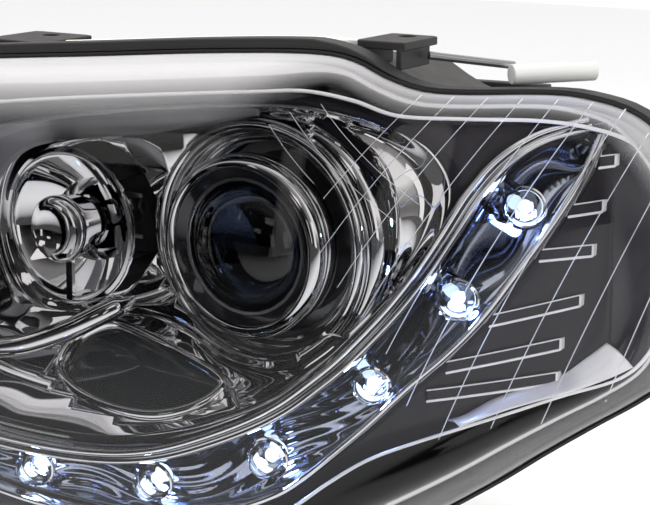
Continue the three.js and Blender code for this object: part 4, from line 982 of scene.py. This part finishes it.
def inside(point, ring):
    """Whether a point lies within a closed outline, by counting the edges beside it."""
    crossings = 0
    for a, b in zip(ring, ring[1:] + ring[:1]):
        if (a[1] > point[1]) == (b[1] > point[1]):
            continue
        if point[0] < a[0] + (point[1] - a[1]) / (b[1] - a[1]) * (b[0] - a[0]):
            crossings += 1
    return crossings % 2 == 1


wall_bm = bmesh.new()
wall_bm.from_mesh(recess.data)
pocket_hole = []
for face in wall_bm.faces:
    local = LEAN.inverted() @ (face.calc_center_median() - POCKET_PLACE) * 1000
    if abs(local.y) < 22 and inside((local.x, local.z), moved_in(pocket_ring, 0.5)):
        pocket_hole.append(face)
bmesh.ops.delete(wall_bm, geom=pocket_hole, context="FACES")
wall_bm.to_mesh(recess.data)
wall_bm.free()
print("wall faces opened for the pocket", len(pocket_hole))
rim_rings = [pocket_level(4.5, -8), pocket_level(3, 1), pocket_level(2, 4.4), pocket_level(0.6, 5.8),
    pocket_level(-1, 6), pocket_level(-2.4, 5.2), pocket_level(-3.8, 2.8), pocket_level(-4.4, 0.6),
    pocket_level(-4.6, -6)]
pocket_rim = finish_mesh("pocket_lip", skin_of(rim_rings), bright_chrome, "lamp_body", "dark_chrome", 60)
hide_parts("pocket_rim")
window_middle = POCKET_PLACE + LEAN @ Vector((0, -0.0044, 0))
window_edge = pocket_level(-4.2, 1.6)
window_rings = [window_edge] + [[window_middle.lerp(q,
    share) + (LEAN @ Vector((0, -0.0012,
    0))) * (1 - share * share) for q in window_edge] for share in (0.85, 0.65, 0.45, 0.25, 0.02)]
window = finish_mesh("smoked_window", skin_of(window_rings), smoked_glass, "lamp_body", "smoked", 60)
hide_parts("pocket_window")

# %% [markdown]
# ## Etched lines
# Fine lines are engraved inside the cover's outboard half. They're parallel, and each leans over more
# than the one outboard of it, so one formula draws them all. Each is a thin ribbon just behind the wall.


# %% Etched lines
def etched_line(name, across_at, low, high):
    """A ribbon 0.36 mm wide, where across_at gives x for each height z."""
    def place(u, v):
        z = low + (high - low) * u
        x = across_at(z) + (v - 0.5) * 0.36
        return spot(x, face_y(x, z) + 4.1, z)
    ribbon = finish_mesh(name, sheet_between(60, 1, place), etched_white, "lamp_body", "clear", 60)
    return thickened(ribbon, 0.12, 0)


FIRST_LINE, LINE_PITCH = 60.0, 14.2
line_tops = [80, 79, 78, 77, 76, 74, 70, 58, 40, 0, -44]
line_feet = [33, 8, -8, -22, -40, -66, -84, -80, -80, -72, -64]
for n, (top, foot) in enumerate(zip(line_tops, line_feet)):
    def across_at(z, n=n):
        rise = z - 40
        straight = FIRST_LINE + LINE_PITCH * n + rise * (0.64 - 0.042 * n)
        return straight + rise * rise * 0.0012 * max(1 - n / 8, 0)
    etched_line("etched_line_%d" % (n + 1), across_at, foot, top)
for n, (start, top, foot) in enumerate([(38, 72, 22), (50, 76, 30), (30, 66, 40)]):
    def crossing_at(z, start=start, top=top):
        return start + (top - z) * (0.72 + 0.004 * (top - z))
    etched_line("crossing_line_%d" % (n + 1), crossing_at, foot, top)

# %% [markdown]
# ## Housing
# The tub behind the cover is moulded in black. Its flange carries the cover's skirt, its walls draw in to
# a sloping back, and the rear ports, tabs and lug are separate closed pieces that meet it.


# %% Housing shell
BACK_DEPTH, BACK_SLOPE = 122, 0.12


def back_y(x):
    """Depth of the housing's back wall, which slopes away outboard."""
    return BACK_DEPTH + BACK_SLOPE * x


def flange_width(p):
    """The flange is wide along the top and tucks in behind the cover outboard and below."""
    if p[1] > 0:
        return 7 - 4.4 * held((p[0] - 35) / 40)
    return 2.6 + 2.4 * held((-20 - p[0]) / 60)


def on_back(distance, share, lift):
    ring = toward(moved_in(cover_rim, distance), COVER_CENTRE, share)
    return [spot(p[0], back_y(p[0]) + lift, p[1]) for p in ring]


def wall_ring(distance, lift):
    ring = moved_in(cover_rim, distance)
    return [spot(p[0], max(back_y(p[0]) - 26, face_y(q[0], q[1]) + q[2] + 22) + lift, p[1]) for p,
        q in zip(ring, cover_rim)]


def flange_ring(grow, back):
    ring = moved_in(cover_rim, lambda p: -flange_width(p) - grow)
    return [spot(p[0], face_y(q[0], q[1]) + q[2] + 10 + back, p[1]) for p, q in zip(ring, cover_rim)]


shell_rings = [
    on_back(26, 0.01, 0), on_back(26, 0.5, 0), on_back(26, 0.9, 0), on_back(26, 0.95, -0.6),
    on_back(26, 0.985, -3), wall_ring(10, 3),
    wall_ring(9, 0), wall_ring(8.4, -4), on_rim(3.2, 9), on_rim(2, 6.6), on_rim(1.6, 5.4),
    flange_ring(-0.5, 5), flange_ring(0, 4.4),
    flange_ring(0, -5.4), flange_ring(-0.6, -6), on_rim(-2.4, -6), on_rim(-2.4, 0.8),
    on_rim(4.5, 0.8), on_rim(6, 6), wall_ring(12, -1), on_back(29, 0.97, -5), on_back(26, 0.5, -3),
    on_back(26, 0.01, -3),
]
shell = moulded("housing_shell", skin_of(shell_rings))
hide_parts("housing")
# Each port's place and radius; the bore is a little narrower than the port's wall.
PORTS = {"low_port": (0, 0, 50), "high_port": (-101, 0, 36), "indicator_port": (-55, -82, 18)}
BORE_INSET, BORE_REACH = 2.6, 16
bore_bm = bmesh.new()
for x, z, radius in PORTS.values():
    bore = radius - BORE_INSET
    plug = turned([(0, -BORE_REACH), (bore, -BORE_REACH), (bore, BORE_REACH), (0, BORE_REACH)],
        (x, back_y(x), z))
    plug_mesh = bpy.data.meshes.new("port_bore")
    plug.to_mesh(plug_mesh)
    plug.free()
    bore_bm.from_mesh(plug_mesh)
bmesh.ops.recalc_face_normals(bore_bm, faces=bore_bm.faces)
bore_mesh = bpy.data.meshes.new("port_bores")
bore_bm.to_mesh(bore_mesh)
bore_bm.free()
bore_object = bpy.data.objects.new("port_bores", bore_mesh)
bpy.context.scene.collection.objects.link(bore_object)
opened = shell.modifiers.new("ports", "BOOLEAN")
opened.operation, opened.object, opened.solver = "DIFFERENCE", bore_object, "EXACT"
cut_mesh = bpy.data.meshes.new_from_object(shell.evaluated_get(bpy.context.evaluated_depsgraph_get()))
shell.modifiers.remove(opened)
shell.data = cut_mesh
bpy.data.objects.remove(bore_object)
print("housing shell faces after the ports are opened:", len(shell.data.polygons))


def port(name, x, z, radius):
    back = back_y(x + radius) + 16
    profile = [(radius, back_y(x - radius) - 4), (radius, back - 0.8), (radius - 0.8, back),
        (radius - 2.4, back), (radius - 3, back - 0.6), (radius - 3, back_y(x - radius) - 4)]
    piece = moulded(name, turned(profile, (x, 0, z), steps=96, loop=True))
    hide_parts("housing")
    root = [(radius + 3.2, back_y(x + radius) - 0.4), (radius + 1.2, back_y(x + radius) + 1.2),
        (radius + 0.05, back_y(x + radius) + 3.6), (radius + 0.05, back_y(x - radius) - 4),
        (radius + 3.2, back_y(x - radius) - 4)]
    moulded(name + "_root", turned(root, (x, 0, z), steps=96, loop=True))


for port_name, (x, z, radius) in PORTS.items():
    port(port_name, x, z, radius)
boss = moulded("aim_boss", turned([(9.5, 92), (9.5, 131.2), (8.7, 132), (5.4, 132), (5.4, 92)],
    (-164, 0, 52), steps=64, loop=True))
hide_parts("housing")


# %% Tabs and lug
def drilled_plate(width, depth, tall, centre, hole_back, radius=4.5):
    """A plate made from its outline, pushed out of a flat face, with a round hole for the bolt."""
    bm = bmesh.new()
    bmesh.ops.create_circle(bm, cap_ends=False, radius=radius / 1000, segments=40)
    rim = bm.edges[:]
    grown = bmesh.ops.extrude_edge_only(bm, edges=rim)["geom"]
    for vert in (g for g in grown if isinstance(g, bmesh.types.BMVert)):
        turn = math.atan2(vert.co.y, vert.co.x)
        half_w, near, away = width / 2000, (-depth / 2 - hole_back) / 1000, (depth / 2 - hole_back) / 1000
        cx, cy = math.cos(turn), math.sin(turn)
        reach = min(half_w / max(abs(cx), 1e-9), (away if cy > 0 else -near) / max(abs(cy), 1e-9))
        vert.co.x, vert.co.y = cx * reach, cy * reach
    flat_faces = bm.faces[:]
    pushed = bmesh.ops.extrude_face_region(bm, geom=flat_faces)["geom"]
    bmesh.ops.translate(bm, vec=(0, 0, -tall / 1000),
        verts=[g for g in pushed if isinstance(g, bmesh.types.BMVert)])
    bmesh.ops.translate(bm, vec=spot(centre[0], centre[1] + hole_back, centre[2]), verts=bm.verts)
    return bm


def tab(name, x, front, depth, top, width):
    middle = front + depth / 2
    plate = moulded(name, drilled_plate(width, depth, 4, (x, middle, top), 9), 30)
    softened(plate, 0.6, 3)
    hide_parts("housing")
    for side in (-1, 1):
        web = moulded("%s_web_%s" % (name, "left" if side < 0 else "right"),
                          block(3, depth - 6, 10, (x + side * (width / 2 - 3), middle - 3, top - 8)), 30)
        softened(web, 0.5, 2)


tab("inboard_tab", -120, -30, 40, 96, 38)
tab("outboard_tab", 60, 24, 34, 102, 26)
lug = moulded("lower_lug", drilled_plate(44, 40, 4, (-60, 30, -182), 9), 30)
softened(lug, 0.6, 3)
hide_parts("housing")
for side in (-1, 1):
    web = moulded("lug_web_%s" % ("left" if side < 0 else "right"),
        block(3, 36, 24, (-60 + side * 19, 30, -172)), 30)
    softened(web, 0.5, 2)

# %% Ribs that stiffen the back
for n, (x, z, wide, tall) in enumerate([(-140, 50, 3, 40), (52, 70, 90, 3), (20, -75, 90, 3),
    (-110, -60, 70, 3), (-20, -120, 3, 50), (110, -20, 3, 90), (110, 40, 60, 3), (-150, -70, 3, 50)]):
    turn = Matrix.Rotation(math.atan(BACK_SLOPE), 3, "Z")
    rib_piece = moulded("back_rib_%d" % (n + 1), block(wide, 7, tall, (x, back_y(x) + 1, z), turn), 30)
    softened(rib_piece, 0.7, 2)

# %% [markdown]
# ## Rear covers
# Both bulb covers are turned rubber-lipped lids with a grip bar to twist them by, and ribs round the edge
# for the fingers.


# %% Rear covers
def rear_cover(name, body, x, z, radius, node):
    back = back_y(x + radius) + 16.4
    profile = [
        (radius + 0.6, back - 12), (radius + 1.2, back - 12.4), (radius + 3.0, back - 12),
        (radius + 3.4, back - 11.2), (radius + 3.4, back + 0.6),
        (radius + 2.8, back + 2.0), (radius + 1.4, back + 2.8), (radius - 4, back + 3.0),
        (radius - 7, back + 2.4), (radius - 9, back + 1.6), (0, back + 1.4), (0, back),
        (radius - 0.2, back), (radius + 0.6, back - 0.8),
    ]
    lid = finish_mesh(name, turned(profile, (x, 0, z), steps=120, loop=True), cap_rubber, body, "rubber",
        45)
    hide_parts(node)
    bar = finish_mesh(name + "_bar", block(radius * 1.5, 12, 7, (x, back + 8, z)), cap_rubber, body,
        "rubber", 30)
    softened(bar, 2.0, 4)
    for k in range(24):
        turn = math.tau * (k + 0.5) / 24
        grip = finish_mesh("%s_grip_%d" % (name, k + 1), block(1.6, 10, 2.4,
            (x + math.cos(turn) * (radius + 3.3), back - 5, z + math.sin(turn) * (radius + 3.3)),
                           Matrix.Rotation(-turn, 3, "Y")), cap_rubber, body, "rubber", 30)
        softened(grip, 0.6, 2)


rear_cover("low_lid", "low_cap", *PORTS["low_port"], "low_cap")
rear_cover("high_lid", "high_cap", *PORTS["high_port"], "high_cap")

# %% [markdown]
# ## Fittings carried over from CAD
# The remaining small parts already have the right shape. Each is copied, its loose triangles are merged
# into whole faces, and its edges get a small bevel, so it catches the light like a moulded part.

# %% Fittings
body_of = {node: body for body,
    nodes_in in frame["record"]["behaviour"]["bodies"].items() for node in nodes_in}
FITTINGS = [
    (housing_black, "housing_black", 0.7, ["level_motor", "connector_socket", "carrier_frame"]),
    (pale_foam, "foam", 0.8, ["top_foam"]),
    (board_white, "board", 0.2, ["led_board"]),
    (zinc_steel, "steel", 0.25, ["pivot_stud", "motor_screw_1", "motor_screw_2", "driver_screw_1",
    "driver_screw_2", "lens_holder",
                                 "shutter", "low_clip", "high_clip", "locating_pin"]),
    (cast_aluminium, "aluminium", 0.5, ["projector_reflector", "led_driver"]),
    (grey_plastic, "grey_plastic", 0.5, ["locating_peg", "turn_bulb_holder"]),
    (white_plastic, "white_plastic", 0.4, ["pivot_socket", "level_stem", "level_screw", "aim_stem",
    "aim_screw"]),
    (cap_rubber, "rubber", 0.6, ["vent_cap_1", "vent_cap_2"]),
    (amber_clear, "amber", 0.2, ["turn_bulb"]),
    (bulb_clear, "clear_glass", 0.2, ["low_bulb", "high_bulb"]),
]
for material, slot, width, names in FITTINGS:
    for name in names:
        bm = bmesh.new()
        bm.from_mesh(frame["nodes"][name].data)
        bmesh.ops.remove_doubles(bm, verts=bm.verts, dist=1e-6)
        bmesh.ops.dissolve_limit(bm, angle_limit=math.radians(1.5), verts=bm.verts, edges=bm.edges)
        piece = finish_mesh(name + "_part", bm, material, body_of[name], slot, 32)
        softened(piece, width, 2, 36)
        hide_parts(name)

# %% [markdown]
# ## Floor and light
# Chrome shows its surroundings, so the room is mostly dark in front, with a few large soft lights. The
# camera sees a white room, and reflections see a dark one with pale panels: a Light Path node in the
# world tells the two apart.

# %% Floor and light
floor_bm = bmesh.new()
bmesh.ops.create_grid(floor_bm, x_segments=2, y_segments=2, size=3)
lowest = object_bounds()[0].z
bmesh.ops.translate(floor_bm, vec=(LAMP.x, LAMP.y, lowest - 0.001), verts=floor_bm.verts)
floor_mesh = bpy.data.meshes.new("floor")
floor_bm.to_mesh(floor_mesh)
floor_bm.free()
floor = bpy.data.objects.new("floor", floor_mesh)
bpy.context.scene.collection.objects.link(floor)
floor_paper = solid_finish("floor_paper", (0.93, 0.93, 0.935), 0.7, tone=0.005, grain=4)
paper_nodes, paper_links = floor_paper.node_tree.nodes, floor_paper.node_tree.links
paper_out = next(n for n in paper_nodes if n.type == "OUTPUT_MATERIAL")
paper = paper_out.inputs["Surface"].links[0].from_socket
# Reflections see the floor as a glowing tone, dark near the front and pale further back: a painted
# reflection in place of the lit floor.
painted_floor_reflection = added(paper_nodes, "Emission")
paper_place = paper_nodes.new("ShaderNodeTexCoord")
paper_parts = paper_nodes.new("ShaderNodeSeparateXYZ")
paper_links.new(paper_place.outputs["Object"], paper_parts.inputs["Vector"])
painted_reflection_fade = added(paper_nodes, "MapRange", From_Min=-0.75, From_Max=-0.25, To_Min=0.07, To_Max=0.95)
paper_links.new(paper_parts.outputs["Y"], painted_reflection_fade.inputs["Value"])
paper_links.new(painted_reflection_fade.outputs["Result"], painted_floor_reflection.inputs["Color"])
mirror_ray = paper_nodes.new("ShaderNodeLightPath")
paper_mix = paper_nodes.new("ShaderNodeMixShader")
paper_links.new(mirror_ray.outputs["Is Glossy Ray"], paper_mix.inputs["Fac"])
paper_links.new(paper, paper_mix.inputs[1])
paper_links.new(painted_floor_reflection.outputs["Emission"], paper_mix.inputs[2])
paper_links.new(paper_mix.outputs["Shader"], paper_out.inputs["Surface"])
floor_mesh.materials.append(floor_paper)

world = bpy.data.worlds.new("room")
bpy.context.scene.world = world
world.use_nodes = True
nodes, links = world.node_tree.nodes, world.node_tree.links
nodes.clear()
out = nodes.new("ShaderNodeOutputWorld")
seen = added(nodes, "Background", Color=(1, 1, 1, 1), Strength=1.0)
mirrored = added(nodes, "Background", Strength=1.0)
where = nodes.new("ShaderNodeTexCoord")
parts = nodes.new("ShaderNodeSeparateXYZ")
links.new(where.outputs["Generated"], parts.inputs["Vector"])


def step_ramp(source, stops):
    """A world ramp over one direction's share, from dark room to white panel, as (position, brightness)."""
    spread = added(nodes, "MapRange", From_Min=-1.0)
    links.new(source, spread.inputs["Value"])
    ramp = nodes.new("ShaderNodeValToRGB")
    ramp.color_ramp.interpolation = "EASE"
    while len(ramp.color_ramp.elements) < len(stops):
        ramp.color_ramp.elements.new(0.5)
    for element, (position, tone) in zip(ramp.color_ramp.elements, stops):
        element.position = position
        element.color = (tone, tone * 0.985, tone * 0.965, 1)
    links.new(spread.outputs["Result"], ramp.inputs["Fac"])
    return ramp.outputs["Color"]


front_to_back = step_ramp(parts.outputs["Y"], [(0.0, 0.015), (0.10, 0.03), (0.16, 0.22), (0.24, 0.26),
    (0.27, 0.85), (0.40, 0.95), (0.47, 0.35), (0.55, 0.5), (1.0, 1.0)])
low_to_high = step_ramp(parts.outputs["Z"], [(0.0, 0.5), (0.40, 0.6), (0.50, 0.16), (0.56, 0.45),
    (0.62, 1.0), (0.80, 1.0), (1.0, 0.8)])
room = nodes.new("ShaderNodeMix")
room.data_type = "RGBA"
room.blend_type = "MULTIPLY"
room.inputs["Factor"].default_value = 1.0
links.new(front_to_back, room.inputs["A"])
links.new(low_to_high, room.inputs["B"])


def card(x, z, half_width, half_height, tone):
    """A crisp white card in front of the lamp, as a mask over the room's directions."""
    masks = []
    for source, middle, half in ((parts.outputs["X"], x, half_width), (parts.outputs["Z"], z, half_height)):
        near = nodes.new("ShaderNodeMath")
        near.operation = "COMPARE"
        near.inputs[1].default_value = middle
        near.inputs[2].default_value = half
        links.new(source, near.inputs[0])
        masks.append(near)
    both_masks = nodes.new("ShaderNodeMath")
    both_masks.operation = "MULTIPLY"
    links.new(masks[0].outputs["Value"], both_masks.inputs[0])
    links.new(masks[1].outputs["Value"], both_masks.inputs[1])
    lit = nodes.new("ShaderNodeMix")
    lit.data_type = "RGBA"
    links.new(both_masks.outputs["Value"], lit.inputs["Factor"])
    links.new(cards_under[-1], lit.inputs["A"])
    lit.inputs["B"].default_value = (tone, tone * 0.97, tone * 0.94, 1)
    cards_under.append(lit.outputs["Result"])


cards_under = [room.outputs["Result"]]
for x, z, half_width, half_height, tone in [
    (-0.52, 0.42, 0.12, 0.10, 1.0), (-0.60, -0.22, 0.06, 0.16, 0.95), (0.1, -0.42, 0.25, 0.05, 0.9),
    (0.78, 0.05, 0.07, 0.3, 1.0),
    (-0.9, 0.0, 0.05, 0.35, 1.0), (0.3, 0.5, 0.12, 0.08, 1.0), (0.38, 0.0, 0.05, 0.22, 0.8),
    (0.0, 0.22, 0.08, 0.04, 0.9),
]:
    card(x, z, half_width, half_height, tone)
links.new(cards_under[-1], mirrored.inputs["Color"])
path = nodes.new("ShaderNodeLightPath")
both = nodes.new("ShaderNodeMixShader")
links.new(path.outputs["Is Glossy Ray"], both.inputs["Fac"])
links.new(seen.outputs["Background"], both.inputs[1])
links.new(mirrored.outputs["Background"], both.inputs[2])
links.new(both.outputs["Shader"], out.inputs["Surface"])


def soft_light(name, place, target, width, height, power, colour=(1, 1, 1)):
    data = bpy.data.lights.new(name, "AREA")
    data.shape = "RECTANGLE"
    data.size, data.size_y = width, height
    data.energy = power
    data.color = colour
    lamp = bpy.data.objects.new(name, data)
    bpy.context.scene.collection.objects.link(lamp)
    lamp.location = place
    lamp.visible_glossy = False
    lamp.rotation_mode = "QUATERNION"
    lamp.rotation_quaternion = (Vector(target) - Vector(place)).to_track_quat("-Z", "Y")
    return lamp


soft_light("top_light", LAMP + Vector((0, -0.1, 1.3)), LAMP, 1.6, 1.0, 14, (1, 0.98, 0.95))
soft_light("left_light", LAMP + Vector((-1.1, -0.9, 0.5)), LAMP, 0.5, 1.0, 8, (1, 0.97, 0.93))
soft_light("right_light", LAMP + Vector((1.4, -0.2, 0.3)), LAMP, 0.5, 1.0, 6, (1, 1, 1))
bpy.context.scene.view_settings.view_transform = "Standard"
